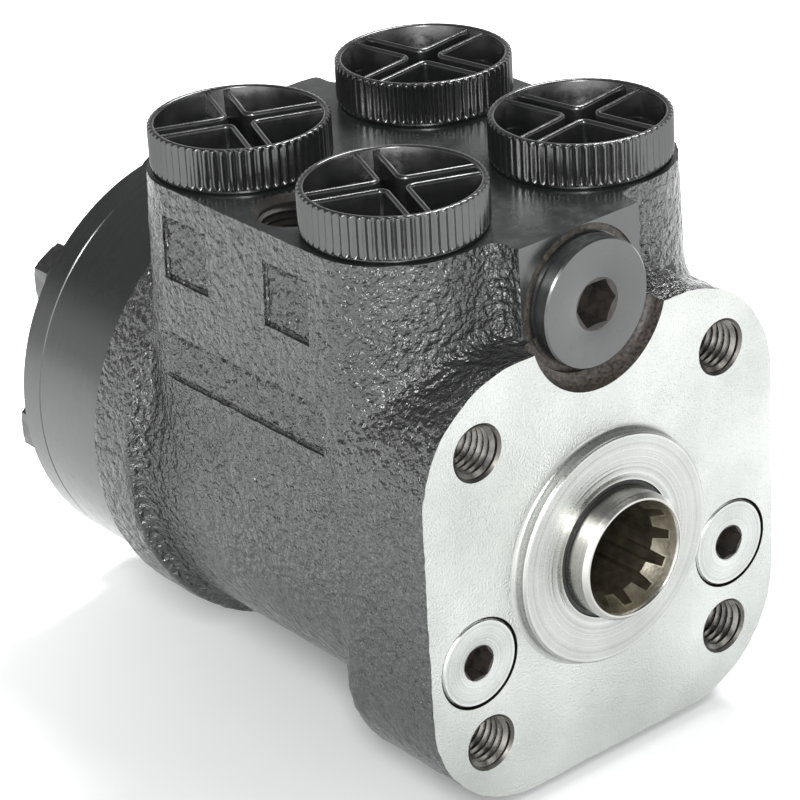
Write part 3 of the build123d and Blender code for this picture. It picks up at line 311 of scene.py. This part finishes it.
def combine(piece, other, operation):
    """Cuts the other solid from the piece, or joins it on, and removes the other."""
    step = piece.modifiers.new("machining", "BOOLEAN")
    step.operation, step.object, step.solver = operation, other, "MANIFOLD"
    done = bpy.data.meshes.new_from_object(piece.evaluated_get(bpy.context.evaluated_depsgraph_get()))
    old, name = piece.data, piece.data.name
    piece.modifiers.clear()
    piece.data = done
    bpy.data.meshes.remove(old)
    done.name = name
    bpy.data.objects.remove(other)


# Away from the face that it cuts, a tool runs clear past the casting.
flange_tool = [(0, -pilot_height), (pilot_radius - pilot_chamfer, -pilot_height),
               (pilot_radius, pilot_chamfer - pilot_height)]
flange_tool += arc((pilot_radius + pilot_foot, -pilot_foot), pilot_foot, (180, 150, 120, 90))
flange_tool += [(75, 0), (75, -9), (0, -9)]
rear_tool = [(0, rear_face), (rear_spigot_radius, rear_face), (rear_spigot_radius, rear_shoulder),
             (past_flange, rear_shoulder - (past_flange - rear_spigot_radius)), (past_flange, 106), (0, 106)]
cutters = [turned(flange_tool, steps=160), block((-60, -10, port_face), (60, 110, 70)),
           block((-16.5, -10, tongue_root), (16.5, tongue_front, 72)), turned(rear_tool, steps=160)]
relief_tool = [(0, -5), (pocket_radius, -5)] + arc((14, 1.8), 2, (0, 22, 45, 68, 90))
relief_tool += stepped(pocket_depth, (seat_radius, seat_depth), (12.3, 4.6), (plug_bore, 15), (7, 50))[1:]
bores = {"valve": turned(stepped(-4, (13.2, 1.5), (12.6, 5), (16.5, 10), (12.6, 12), (19.02, 101))),
         "relief": turned(relief_tool, (0, relief_z), steps=128)}
shock_tool = stepped(-3, (8.87, 9), (5.5, 31), (2.5, 39))
column_tool = [(0, -1), (6.5, -1), (column_bore, 0.5), (column_bore, 16), (0, 18.5)]
for side in (-1, 1):
    bores[f"shock_{side}"] = turned(shock_tool, (side * shock_x, shock_z), steps=64)
    for rise in (-1, 1):
        place = (side * column_hole, rise * column_hole)
        bores[f"column_{side}_{rise}"] = turned(column_tool, place, steps=64)
for place_name, centre in port_places.items():
    port_tool = port_outline(11.3, 0.8, (port_bore, 46), ball_chambers[place_name], (2.6, 16))
    bores["port_" + place_name] = turned(port_tool, centre, "Z")
bores["signal"] = turned(port_outline(7.98, 1.4, (signal_bore, 49), (2, 30)), signal_place, "Z", steps=64)
spans = {name: np.array([v.co for v in tool.data.vertices]) * 1000 for name, tool in bores.items()}
for tool in cutters + [sunk_panel(*panel) for panel in sunk_panels] + list(bores.values()):
    combine(casting, tool, "DIFFERENCE")
smoothed(casting, 38)
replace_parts(casting, "housing")
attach(casting, "housing_body")


# Finishes of the housing: semi-gloss black paint, thin over the sand grain and smooth on the machined port
# face; bare iron, ground on the flange face and turned in rings on the pilot; oily grey iron in the bores,
# darkened as painted shade in the ports and the signal port.
def worked(tree, operation, first, second):
    """Math node on two values, each a number or another node's output."""
    node = tree.nodes.new("ShaderNodeMath")
    node.operation = operation
    for socket, value in zip(node.inputs, (first, second)):
        if isinstance(value, float):
            socket.default_value = value
        else:
            tree.links.new(value, socket)
    return node.outputs["Value"]


def finish(name, dark, light, roughness, metallic=0.0, patch=60, grain=900, depth=0.0001, strength=0.3,
           detail=4.0, rings=None, specular=0.5):
    """Surface whose colour wanders from dark to light with a slow noise, and whose roughness and height
    follow a quick one. rings is (x, z, per metre, depth) for lathe rings round an axis along Y,
    a noise of the radius plus y, so that they show on faces and on cylinders. Sizes are in metres."""
    material = bpy.data.materials.new(name)
    material.use_nodes = True
    tree = material.node_tree
    shader = tree.nodes["Principled BSDF"]
    shader.inputs["Metallic"].default_value = metallic
    shader.inputs["Specular IOR Level"].default_value = specular
    place = tree.nodes.new("ShaderNodeTexCoord")
    slow, quick = tree.nodes.new("ShaderNodeTexNoise"), tree.nodes.new("ShaderNodeTexNoise")
    for noise, scale, fineness in ((slow, patch, 5.0), (quick, grain, detail)):
        tree.links.new(place.outputs["Object"], noise.inputs["Vector"])
        noise.inputs["Scale"].default_value = scale
        noise.inputs["Detail"].default_value = fineness
    colours = tree.nodes.new("ShaderNodeValToRGB")
    for stop, position, colour in zip(colours.color_ramp.elements, (0.32, 0.68), (dark, light)):
        stop.position, stop.color = position, (*colour, 1)
    tree.links.new(slow.outputs["Fac"], colours.inputs["Fac"])
    tree.links.new(colours.outputs["Color"], shader.inputs["Base Color"])
    gloss = tree.nodes.new("ShaderNodeMapRange")
    for socket, number in zip(("From Min", "From Max", "To Min", "To Max"), (0.3, 0.7, *roughness)):
        gloss.inputs[socket].default_value = number
    tree.links.new(quick.outputs["Fac"], gloss.inputs["Value"])
    tree.links.new(gloss.outputs["Result"], shader.inputs["Roughness"])
    bump = tree.nodes.new("ShaderNodeBump")
    bump.inputs["Strength"].default_value, bump.inputs["Distance"].default_value = strength, depth
    tree.links.new(quick.outputs["Fac"], bump.inputs["Height"])
    tree.links.new(bump.outputs["Normal"], shader.inputs["Normal"])
    if rings:
        axis_x, axis_z, per_metre, ring_depth = rings
        centred = tree.nodes.new("ShaderNodeMapping")
        centred.inputs["Location"].default_value = (-axis_x, 0, -axis_z)
        centred.inputs["Scale"].default_value = (1, 0, 1)
        tree.links.new(place.outputs["Object"], centred.inputs["Vector"])
        radius, parts = tree.nodes.new("ShaderNodeVectorMath"), tree.nodes.new("ShaderNodeSeparateXYZ")
        radius.operation = "LENGTH"
        tree.links.new(centred.outputs["Vector"], radius.inputs[0])
        tree.links.new(place.outputs["Object"], parts.inputs["Vector"])
        lathe = tree.nodes.new("ShaderNodeTexNoise")
        lathe.noise_dimensions = "1D"
        lathe.inputs["Scale"].default_value, lathe.inputs["Detail"].default_value = per_metre, 3.0
        tree.links.new(worked(tree, "ADD", radius.outputs["Value"], parts.outputs["Y"]), lathe.inputs["W"])
        mean = tree.nodes.new("ShaderNodeMix")
        tree.links.new(slow.outputs["Fac"], mean.inputs["A"])
        tree.links.new(lathe.outputs["Fac"], mean.inputs["B"])
        tree.links.new(mean.outputs["Result"], colours.inputs["Fac"])
        groove = tree.nodes.new("ShaderNodeBump")
        groove.inputs["Strength"].default_value, groove.inputs["Distance"].default_value = 0.5, ring_depth
        tree.links.new(lathe.outputs["Fac"], groove.inputs["Height"])
        tree.links.new(bump.outputs["Normal"], groove.inputs["Normal"])
        tree.links.new(groove.outputs["Normal"], shader.inputs["Normal"])
    return material


def each_face(piece, measure):
    """The center or the normal of every face of the piece, as rows of three."""
    rows = np.zeros(len(piece.data.polygons) * 3)
    piece.data.polygons.foreach_get(measure, rows)
    return rows.reshape(-1, 3)


def give_finishes(piece, materials):
    """Puts these materials, and no others, in the piece's slots."""
    piece.data.materials.clear()
    for material in materials:
        piece.data.materials.append(material)


cast_paint = finish("cast_paint", (0.022, 0.023, 0.022), (0.036, 0.037, 0.036), (0.11, 0.27), patch=45,
                    grain=680, depth=0.0015, strength=1.0, detail=2.6, specular=0.92)
face_paint = finish("face_paint", (0.014, 0.015, 0.015), (0.021, 0.023, 0.023), (0.18, 0.28), patch=70,
                    grain=420, depth=0.00005, strength=0.25, specular=1.0)
ground_iron = finish("ground_iron", (0.44, 0.455, 0.44), (0.62, 0.63, 0.61), (0.26, 0.44), 1.0, patch=34,
                     grain=2400, depth=0.00034, strength=1.0, detail=3.0)
turned_iron = finish("turned_iron", (0.30, 0.305, 0.29), (0.50, 0.505, 0.49), (0.24, 0.36), 1.0, patch=60,
                     grain=2600, depth=0.00004, strength=0.5, rings=(0, 0, 1300, 0.00022))
bored_iron = finish("bored_iron", (0.07, 0.066, 0.06), (0.15, 0.14, 0.13), (0.30, 0.46), 1.0, patch=240,
                    grain=1800, depth=0.00003)
pocket_paint = finish("pocket_paint", (0.012, 0.010, 0.009), (0.10, 0.086, 0.072), (0.42, 0.62), patch=1500,
                      grain=1100, depth=0.00012, strength=0.5)
# Iron of the port and signal bores, darkened as painted shade deep in the ports.
port_iron_shaded = finish("port_iron_shaded", (0.030, 0.028, 0.027), (0.070, 0.066, 0.062), (0.30, 0.48), 0.6, patch=240,
                   grain=1500, depth=0.00004)
skins = (cast_paint, face_paint, ground_iron, turned_iron, bored_iron, pocket_paint, port_iron_shaded)
give_finishes(casting, skins)
slack, tongue_foot, chamfer_foot, in_line = 0.02, tongue_root - 0.1, 93.9, 0.99
middle, facing = each_face(casting, "center") * 1000, each_face(casting, "normal")
across, back, up = middle.T
from_axis, from_plug = np.hypot(across, up), np.hypot(across, up - relief_z)
kind = np.zeros(len(middle), int)
on_port_face = (np.abs(up - port_face) < slack) & (facing[:, 2] > in_line)
on_tongue = (np.abs(back - tongue_front) < slack) & (up > tongue_foot) & (facing[:, 1] < -in_line)
on_rear_chamfer = ((back > chamfer_foot) & (from_axis > rear_spigot_radius - 0.1)
                   & (np.abs(facing[:, 1] - math.sqrt(0.5)) < slack))
on_rear_spigot = (back > rear_shoulder - 0.07) & (from_axis < rear_spigot_radius + 0.3)
kind[on_port_face | on_tongue | on_rear_chamfer | on_rear_spigot] = skins.index(face_paint)
kind[(np.abs(back) < slack) & (facing[:, 1] < -in_line)] = skins.index(ground_iron)
kind[(back < -slack / 2) & (from_axis < pilot_radius + 1.8)] = skins.index(turned_iron)
for name, corners in spans.items():
    low, high = corners.min(0) - slack, corners.max(0) + slack
    upright = name.startswith(("port", "signal"))
    plane = [0, 1] if upright else [0, 2]
    centre, reach = (low[plane] + high[plane]) / 2, (high[plane] - low[plane]).max() / 2
    within = np.hypot(*(middle[:, plane] - centre).T) < reach
    within &= ((middle > low) & (middle < high)).all(axis=1) & (kind == 0)
    if name == "relief":
        margin = 0.05
        in_pocket = (from_plug < pocket_radius + margin) & (back < pocket_depth + margin)
        in_pocket &= up < tongue_foot
        in_seat = (from_plug < seat_radius + margin) & (back < seat_depth + margin)
        kind[within & (in_pocket | in_seat)] = skins.index(pocket_paint)
        within &= (from_plug < plug_bore + margin) & (kind == 0)
    # Port and signal bores get the iron darkened as painted shade; the other bores get plain bored iron.
    kind[within] = skins.index(port_iron_shaded if upright else bored_iron)
casting.data.polygons.foreach_set("material_index", kind.astype(np.int32))


# Tapped threads: metric in the four column holes, pipe threads in the four ports and the signal port.
# Cut in the bare iron with a tap, so they are steel grey with a little oil; inside the ports they take the
# port bores' finish, darkened as painted shade.
def thread(name, centre, along, start, end, radius, pitch, depth):
    """Female thread: a blunt triangle carried along a helix of that pitch, its base just in the wall and
    its tip towards the axis, thinned to nothing over the first and last half turn."""
    turns, per_turn, in_wall = (end - start) / pitch, 26, 0.03
    steps = int(round(turns * per_turn))
    angle = np.linspace(0, turns * 2 * math.pi, steps + 1)[:, None]
    level = np.linspace(start, end, steps + 1)[:, None]
    fade = np.clip(np.minimum(angle, angle[-1] - angle) / math.pi, 0.04, 1)
    out = radius + in_wall - 0.92 * depth * fade * (0, 1, 1, 0)
    rise = level + pitch * fade * (-0.46, -0.07, 0.07, 0.46)
    points = laid_along(wound(out, angle, rise), centre, along)
    return facing_out(new_piece(name, points, tube_faces(steps + 1, 4)), 30)


tapped_steel = finish("tapped_steel", (0.10, 0.096, 0.09), (0.24, 0.23, 0.21), (0.22, 0.38), 1.0, patch=300,
                      grain=2000, depth=0.00002)
for number, (side, rise) in enumerate(((-1, -1), (-1, 1), (1, -1), (1, 1)), 1):
    ridge = thread(f"column_thread_{number}", (side * column_hole, rise * column_hole), "Y",
                   start=0.35, end=14.6, radius=column_bore + 0.02, pitch=1.5, depth=0.86)
    ridge.data.materials.append(tapped_steel)
    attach(ridge, "housing_body")
taps = [(name, centre, 48.2, 59.6, port_bore, 1.814, 1.16) for name, centre in port_places.items()]
taps.append(("signal", signal_place, 50.2, 59.2, signal_bore, 1.337, 0.85))
for place_name, centre, foot, top, bore, pitch, depth in taps:
    ridge = thread("port_thread_" + place_name, centre, "Z", foot, top, bore, pitch, depth)
    ridge.data.materials.append(port_iron_shaded)
    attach(ridge, "housing_body")


# Port caps: black moulded plastic, screwed into the ports by hand to keep dirt out until the hoses go on,
# with a knurled grip, a thin rim, four pockets round a double-ribbed cross, and a hollow shank.
ridges, per_ridge, ridge_depth, grip_radius = 62, 8, 0.68, 16.9
rib_line, rib_bend, rim_reach = 1.9, 1.5, 15.7
cap_plastic = finish("cap_plastic", (0.009, 0.0095, 0.0095), (0.015, 0.0155, 0.015), (0.14, 0.26), patch=90,
                     grain=600, depth=0.00006, strength=0.4, specular=1.0)


def cap_rib():
    """Points and faces of one rib: a round-topped section carried along an L that starts and ends in
    the rim, at the same distance from both lines of the cross."""
    bend = arc((rib_line + rib_bend, rib_line + rib_bend), rib_bend, np.linspace(270, 180, 7))
    path = np.array([(rim_reach, rib_line), (8, rib_line)] + bend + [(rib_line, 8), (rib_line, rim_reach)])
    ahead = np.gradient(path, axis=0)
    ahead /= np.linalg.norm(ahead, axis=1, keepdims=True)
    sideways = np.stack([-ahead[:, 1], ahead[:, 0]], axis=1)
    section = np.array([(-0.62, 63.0), (0.62, 63.0), (0.6, 68.7), (0.5, 69.0), (0.28, 69.2), (0.0, 69.26),
                        (-0.28, 69.2), (-0.5, 69.0), (-0.6, 68.7)])
    flat = path[:, None] + sideways[:, None] * section[None, :, :1]
    level = np.broadcast_to(section[None, :, 1:], flat.shape[:2] + (1,))
    return np.concatenate([flat, level], axis=2).reshape(-1, 3), tube_faces(len(path), len(section))


def knurled_cap(name, centre, turn):
    """Turned outline (radius, place, share of the knurl) whose radius drops between the ridges as the
    cosine of the angle, with a rib joined on in each quarter."""
    pocket = [(0, 63.3, 0), (14.6, 63.3, 0), (15.2, 63.45, 0), (15.5, 63.9, 0), (15.5, 69.3, 0),
              (15.62, 69.56, 0)]
    rim = [(15.85, 69.65, 0), (16.3, 69.65, 0), (16.55, 69.58, 0.2), (16.8, 69.42, 0.6)]
    grip = [(grip_radius, place, 1) for place in (69.15, 68.6, 67, 64, 62.3)]
    foot = [(16.88, 62.0, 0.8), (16.75, 61.75, 0.2), (16.5, 61.66, 0), (16.5, 61.34, 0), (15.6, 61.3, 0)]
    shank = [(15.6, 61.02, 0), (9.18, 61.02, 0), (9.18, 52.3, 0), (8.9, 52, 0), (7.9, 52, 0), (7.6, 52.3, 0),
             (7.6, 61.2, 0), (0, 61.2, 0)]
    outline = np.array(pocket + rim + grip + foot + shank)
    angle = round_circle(ridges * per_ridge)
    hollow = ridge_depth * (1 - np.cos(angle * ridges)) / 2
    body = outline[1:-1]
    points = wound(body[:, :1] - body[:, 2:] * hollow, angle, body[:, 1:2])
    points = np.vstack([points, [[0, 0, outline[0, 1]], [0, 0, outline[-1, 1]]]])
    cap = facing_out(new_piece(name, points, tube_faces(len(body), len(angle), poles=True)), 50)
    rib_points, rib_faces = cap_rib()
    for spin in np.radians((0, 90, 180, 270)):
        quarter = [[math.cos(spin), math.sin(spin), 0], [-math.sin(spin), math.cos(spin), 0], [0, 0, 1]]
        combine(cap, facing_out(new_piece("rib", rib_points @ np.array(quarter), rib_faces), 50), "UNION")
    cap.data.transform(Matrix.Translation((centre[0] * 0.001, centre[1] * 0.001, 0))
                       @ Matrix.Rotation(math.radians(turn), 4, "Z"))
    give_finishes(cap, [cap_plastic])
    return smoothed(cap, 50)


for place_name, centre in port_places.items():
    cap = knurled_cap("cap_" + place_name, centre, -22 if centre[0] < 0 else 10)
    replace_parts(cap, "port_cap_" + place_name)
    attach(cap, f"cap_{place_name}_body")


# Gerotor stack behind the housing: distributor plate, gear ring and end cover, turned from steel and painted
# with the housing, with a hexagon screw and washer at each lobe.
screw_count, screw_circle, screw_tip = 7, 35, 87.1
half_flats, head_foot = 6.0, 125.2


def dress(material, *nodes):
    """Gives CAD nodes this finish in every material slot."""
    for node in nodes:
        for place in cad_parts[node].material_slots:
            place.material = material


stack_paint = finish("stack_paint", (0.014, 0.015, 0.015), (0.022, 0.023, 0.023), (0.16, 0.26), patch=60,
                     grain=500, depth=0.00004, rings=(0, 0, 1500, 0.00002), specular=1.0)
screw_paint = finish("screw_paint", (0.012, 0.012, 0.013), (0.030, 0.029, 0.028), (0.20, 0.36), patch=260,
                     grain=900, depth=0.00004, specular=0.8)
dress(stack_paint, "distributor_plate", "gear_ring", "end_cover")
dress(screw_paint, "cover_washers")


def cover_screw(name, angles):
    """Hexagon screws: a turned outline whose head radius follows the hexagon, half the flats over the
    cosine of the angle from the nearest flat, and never passes the 30 degree chamfer cone."""
    theta = round_circle(72)
    hexagon = half_flats / np.cos((theta + math.pi / 6) % (math.pi / 3) - math.pi / 6)
    outline = np.array([(5.3, 130.43), (5.7, 130.43), (6.35, 130.05), (7.0, 129.68), (7.0, 125.3),
                        (6.2, 125.15), (4.0, 125.14), (4.0, screw_tip + 0.8), (3.3, screw_tip)])
    radius, level = outline[:, :1], outline[:, 1:]
    radius = np.where(level > head_foot, np.minimum(radius, hexagon), radius)
    points, faces = [], []
    for number, angle in enumerate(angles):
        centre = (screw_circle * math.cos(angle), screw_circle * math.sin(angle))
        points.append(laid_along(wound(radius, theta, level), centre, "Y"))
        faces += tube_faces(len(outline), len(theta), number * radius.size)
    screws = facing_out(new_piece(name, np.concatenate(points), faces), 25)
    screws.data.materials.append(screw_paint)
    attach(screws, "housing_body")
    return screws


lobe_angles = math.pi / 2 + np.arange(screw_count) * 2 * math.pi / screw_count
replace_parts(cover_screw("cover_screw_set", lobe_angles[1:]), "cover_screws")
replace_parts(cover_screw("pinned_cover_screw", lobe_angles[:1]), "pinned_screw")


# Relief valve plug in the tongue: flanged steel with a hexagon socket, screwed down on a soft washer and
# painted over with the housing; the socket is darkened with painted shade and browned a little for dirt and
# rust.
plug_paint = finish("plug_paint", (0.016, 0.018, 0.018), (0.026, 0.028, 0.028), (0.18, 0.28), patch=200,
                    grain=700, depth=0.00003, rings=(0, relief_z / 1000, 2400, 0.00001), specular=1.0)
# Finish of the hexagon sockets: painted shade, darker than the plugs, with a brown tint of dirt and rust.
socket_dirt_and_shade = finish("socket_dirt_and_shade", (0.012, 0.011, 0.010), (0.040, 0.033, 0.028), (0.42, 0.62), patch=700,
                      grain=2600, depth=0.00006, strength=0.5)
dress(plug_paint, "relief_seal")


def copy_of(name, node, body, finishes):
    """A merged copy of a CAD node that stands for it, so that its faces can take more than one finish."""
    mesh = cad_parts[node].data.copy()
    mesh.name = name
    piece = bpy.data.objects.new(name, mesh)
    bpy.context.scene.collection.objects.link(piece)
    work = bmesh.new()
    work.from_mesh(mesh)
    bmesh.ops.remove_doubles(work, verts=work.verts, dist=2e-6)
    work.to_mesh(mesh)
    work.free()
    give_finishes(piece, finishes)
    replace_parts(piece, node)
    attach(piece, body)
    return piece


def socket_faces(piece, centre, mouth, reach):
    """Second finish on the faces nearer the axis than reach and behind the mouth, in millimetres. The
    copied normals go, so that the edges are shaded from the faces."""
    stale = piece.data.attributes.get("custom_normal")
    if stale:
        piece.data.attributes.remove(stale)
    middle = each_face(piece, "center") * 1000
    hidden = (np.hypot(middle[:, 0] - centre[0], middle[:, 2] - centre[1]) < reach) & (middle[:, 1] > mouth)
    piece.data.polygons.foreach_set("material_index", hidden.astype(np.int32))
    smoothed(piece, 28)
    return hidden


plug = copy_of("relief_valve_plug", "relief_plug", "housing_body",
               (plug_paint, socket_dirt_and_shade))
socket_faces(plug, (0, relief_z), mouth=0.65, reach=4.93)


# Inner valve and bearing pieces: balls, poppet, sleeve, rotor, pin and races are hardened and ground bright;
# the adjuster, seat and bush are turned and left plain; leaf springs and pins are dark drawn steel.
hard_steel = finish("hard_steel", (0.42, 0.41, 0.40), (0.58, 0.57, 0.55), (0.16, 0.30), 1.0, patch=120,
                    grain=2400, depth=0.00001)
spring_steel = finish("spring_steel", (0.14, 0.13, 0.12), (0.28, 0.27, 0.25), (0.28, 0.42), 1.0, patch=300,
                      grain=1500, depth=0.00002)
dress(tapped_steel, "relief_adjuster", "relief_seat", "check_bush", "rotor_spacer")
dress(hard_steel, "relief_poppet", "check_ball", "suction_ball_left", "suction_ball_right",
      "shock_ball_left", "shock_ball_right", "needle_cage", "bearing_race_front", "bearing_race_rear",
      "cross_pin", "sleeve", "rotor")
dress(spring_steel, "neutral_springs", "spring_ring", "suction_pins")


# Coil springs of the relief valve and the two shock valves: hard-drawn wire wound on a mandrel, the end turns
# closed, pressed between the adjuster or plug and the poppet or ball, each made at its CAD spring's length.
spring_wire, valve_travel, room_round_coil = 0.75, 1.5, 0.02
free_pitch, closed_pitch = 3.2 * spring_wire, 2.2 * spring_wire


def coil_spring(name, node):
    """Circle of wire carried along a helix that climbs by its share t less a sine of t, so that its turns lie
    closer at both ends. It stands in the CAD spring's box, on its low end."""
    low, high = (np.array(corner) * 1000 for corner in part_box(node))
    length = high[1] - low[1] - 2 * spring_wire
    turns = int(length / free_pitch)
    closing = 1 - closed_pitch * turns / length
    share = np.linspace(0, 1, turns * 28 + 1)[:, None]
    coil = (high[0] - low[0]) / 2 - spring_wire - room_round_coil
    climb = low[1] + spring_wire + length * (share - closing * np.sin(2 * math.pi * share) / (2 * math.pi))
    round_wire = round_circle(10)
    centre = (low + high) / 2
    points = wound(coil + spring_wire * np.cos(round_wire), 2 * math.pi * turns * share,
                   climb + spring_wire * np.sin(round_wire))
    points = laid_along(points, (centre[0], centre[2]), "Y")
    spring = facing_out(new_piece(name, points, tube_faces(len(share), len(round_wire))), 50)
    spring.data.materials.append(spring_steel)
    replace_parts(spring, node)
    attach(spring, "housing_body")
    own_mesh(spring)


coil_spring("relief_valve_coil", "relief_spring")
for side_name in ("left", "right"):
    coil_spring("shock_valve_coil_" + side_name, "shock_spring_" + side_name)


# Shock valve plugs: zinc-plated steel with a hexagon socket, turned in rings, screwed in until they are
# flush with the flange face.
for side_name, side in (("left", -1), ("right", 1)):
    plated = finish("plated_steel_" + side_name, (0.36, 0.37, 0.36), (0.56, 0.57, 0.56), (0.24, 0.36), 1.0,
                    patch=120, grain=1800, depth=0.00003,
                    rings=(side * shock_x / 1000, shock_z / 1000, 1700, 0.00012))
    plug = copy_of("shock_valve_plug_" + side_name, "shock_plug_" + side_name,
                   "housing_body", (plated, socket_dirt_and_shade))
    # The shock plugs' hexagon sockets are darkened with painted shade.
    socket_faces(plug, (side * shock_x, shock_z), mouth=0.02, reach=3.42)


# Valve spool: hardened steel, ground and polished on the neck where the seal runs, with a coned mouth turned
# into its end and oil in the splined socket behind it, where the steering column goes in.
neck_steel = finish("neck_steel", (0.40, 0.395, 0.37), (0.50, 0.495, 0.47), (0.20, 0.28), 1.0, patch=160,
                    grain=1200, depth=0.00001, rings=(0, 0, 2300, 0.00007))
mouth_steel = finish("mouth_steel", (0.20, 0.185, 0.145), (0.33, 0.31, 0.25), (0.30, 0.46), 1.0, patch=600,
                     grain=1800, depth=0.00006, strength=0.5)
oiled_steel = finish("oiled_steel", (0.085, 0.075, 0.052), (0.18, 0.155, 0.11), (0.34, 0.52), 0.8, patch=420,
                     grain=1500, depth=0.00006, strength=0.5)
mouth_cone = [(11.0, -7.4), (10.72, -6.95), (10.5, -5.7), (8.8, -2.6)]
spool = copy_of("valve_spool", "spool", "spool_body", (neck_steel, mouth_steel))
combine(spool, turned([(0, -9), (11.0, -9)] + mouth_cone + [(0, -2.6)]), "DIFFERENCE")
give_finishes(spool, (neck_steel, mouth_steel, oiled_steel))
in_mouth = socket_faces(spool, (0, 0), mouth=-6.97, reach=10.75)
across, back, up = each_face(spool, "center").T * 1000
cone = np.interp(back, [place for _, place in mouth_cone], [radius for radius, _ in mouth_cone])
in_spline = (back > -2.65) | (np.hypot(across, up) > cone + 0.06)
spool.data.polygons.foreach_set("material_index", (in_mouth * (1 + in_spline)).astype(np.int32))


# Cardan shaft: forged steel with crowned splines on both ends, left as machined, loose between spool and
# rotor. The seals and O-rings are black nitrile rubber, pressed into their grooves.
cardan_steel = finish("cardan_steel", (0.24, 0.23, 0.21), (0.38, 0.36, 0.33), (0.30, 0.46), 1.0, patch=200,
                      grain=1600, depth=0.00003)
rubber = finish("rubber", (0.012, 0.012, 0.012), (0.022, 0.022, 0.022), (0.48, 0.66), patch=300, grain=1600,
                depth=0.00003)
dress(cardan_steel, "cardan_shaft")
dress(rubber, "stack_o_rings", "shaft_seal", "dust_seal")


# Studio: a white floor under the part that glows white away from it and keeps its shadow, its glow fading
# towards the part as a painted shade round its foot; a world that is white to the eye and a softbox to glossy
# faces, four soft lamps, and the camera. Sizes are in metres.
floor_half, floor_level = 6, -0.0458
softbox_from = (-0.74, -0.64, 0.20)
aim = Vector((0, 0.05, 0))
floor_corners = [(u * floor_half, v * floor_half, floor_level)
                 for u, v in ((-1, -1), (1, -1), (1, 1), (-1, 1))]
floor_mesh = bpy.data.meshes.new("floor")
floor_mesh.from_pydata(floor_corners, [], [(0, 1, 2, 3)])
floor = bpy.data.objects.new("floor", floor_mesh)
bpy.context.scene.collection.objects.link(floor)


def ramp(tree, value, start, end, low, high):
    """Smooth step of a value between start and end, from low to high."""
    node = tree.nodes.new("ShaderNodeMapRange")
    node.interpolation_type = "SMOOTHSTEP"
    for socket, number in zip(("From Min", "From Max", "To Min", "To Max"), (start, end, low, high)):
        node.inputs[socket].default_value = number
    tree.links.new(value, node.inputs["Value"])
    return node.outputs["Result"]


paper = bpy.data.materials.new("paper")
paper.use_nodes = True
tree, sheet = paper.node_tree, paper.node_tree.nodes["Principled BSDF"].inputs
sheet["Base Color"].default_value = (0.88, 0.90, 0.90, 1)
sheet["Roughness"].default_value = 0.7
sheet["Specular IOR Level"].default_value = 0.1
sheet["Emission Color"].default_value = (1, 1, 1, 1)
spread = tree.nodes.new("ShaderNodeVectorMath")
spread.operation = "LENGTH"
tree.links.new(tree.nodes.new("ShaderNodeTexCoord").outputs["Object"], spread.inputs[0])
rays = tree.nodes.new("ShaderNodeLightPath").outputs
seen = worked(tree, "MAXIMUM", rays["Is Camera Ray"], rays["Is Glossy Ray"])
seen = worked(tree, "MAXIMUM", seen, rays["Is Transmission Ray"])
# Floor glow to the eye and in reflections: weak near the part and full far off, a painted shade round its
# foot.
glow_with_painted_shade = ramp(tree, spread.outputs["Value"], start=0.07, end=0.24, low=0.13, high=0.80)
tree.links.new(worked(tree, "MULTIPLY", seen, glow_with_painted_shade), sheet["Emission Strength"])
floor_mesh.materials.append(paper)

world = bpy.data.worlds.new("studio")
bpy.context.scene.world = world
world.use_nodes = True
tree = world.node_tree
sky = tree.nodes["Background"].inputs
sky["Color"].default_value = (1, 1, 1, 1)
rays = tree.nodes.new("ShaderNodeLightPath").outputs
towards = tree.nodes.new("ShaderNodeTexCoord").outputs["Generated"]
parts = tree.nodes.new("ShaderNodeSeparateXYZ")
tree.links.new(towards, parts.inputs["Vector"])
to_softbox = tree.nodes.new("ShaderNodeVectorMath")
to_softbox.operation = "DOT_PRODUCT"
to_softbox.inputs[1].default_value = softbox_from
tree.links.new(towards, to_softbox.inputs[0])
horizon = ramp(tree, parts.outputs["Z"], start=0.12, end=0.45, low=1.0, high=0.18)
softbox = ramp(tree, to_softbox.outputs["Value"], start=0.74, end=0.95, low=0.0, high=2.4)
mirrored = worked(tree, "ADD", horizon, softbox)
white = worked(tree, "MAXIMUM", rays["Is Camera Ray"], rays["Is Transmission Ray"])
light = worked(tree, "ADD", white, worked(tree, "MULTIPLY", rays["Is Glossy Ray"], mirrored))
light = worked(tree, "ADD", light, worked(tree, "MULTIPLY", rays["Is Diffuse Ray"], 0.36))
tree.links.new(light, sky["Strength"])

for lamp_name, spot, size, power in (
        ("key", (-0.55, -0.55, 0.75), 0.24, 4.0), ("rim", (0.54, 0.32, 0.90), 0.36, 12.0),
        ("front", (0.5, -0.9, 0.5), 0.5, 2.0), ("fill", (-0.40, -0.46, 0.34), 0.14, 2.2)):
    lamp_data = bpy.data.lights.new(lamp_name, "AREA")
    lamp_data.size, lamp_data.energy = size, power
    lamp = bpy.data.objects.new(lamp_name, lamp_data)
    bpy.context.scene.collection.objects.link(lamp)
    lamp.location = spot
    lamp.rotation_mode = "QUATERNION"
    lamp.rotation_quaternion = (aim - Vector(spot)).to_track_quat("-Z", "Y")

lens = bpy.data.cameras.new("camera")
lens.sensor_width, lens.lens = 36.0, 148.655
lens.clip_start, lens.clip_end = 0.01, 50.0
camera = bpy.data.objects.new("camera", lens)
bpy.context.scene.collection.objects.link(camera)
camera.location = (-0.350246, -0.386654, 0.288673)
camera.rotation_euler = [math.radians(turn) for turn in (63.6472, 3.0796, -39.7857)]
bpy.context.scene.camera = camera
bpy.context.scene.view_settings.view_transform = "Standard"
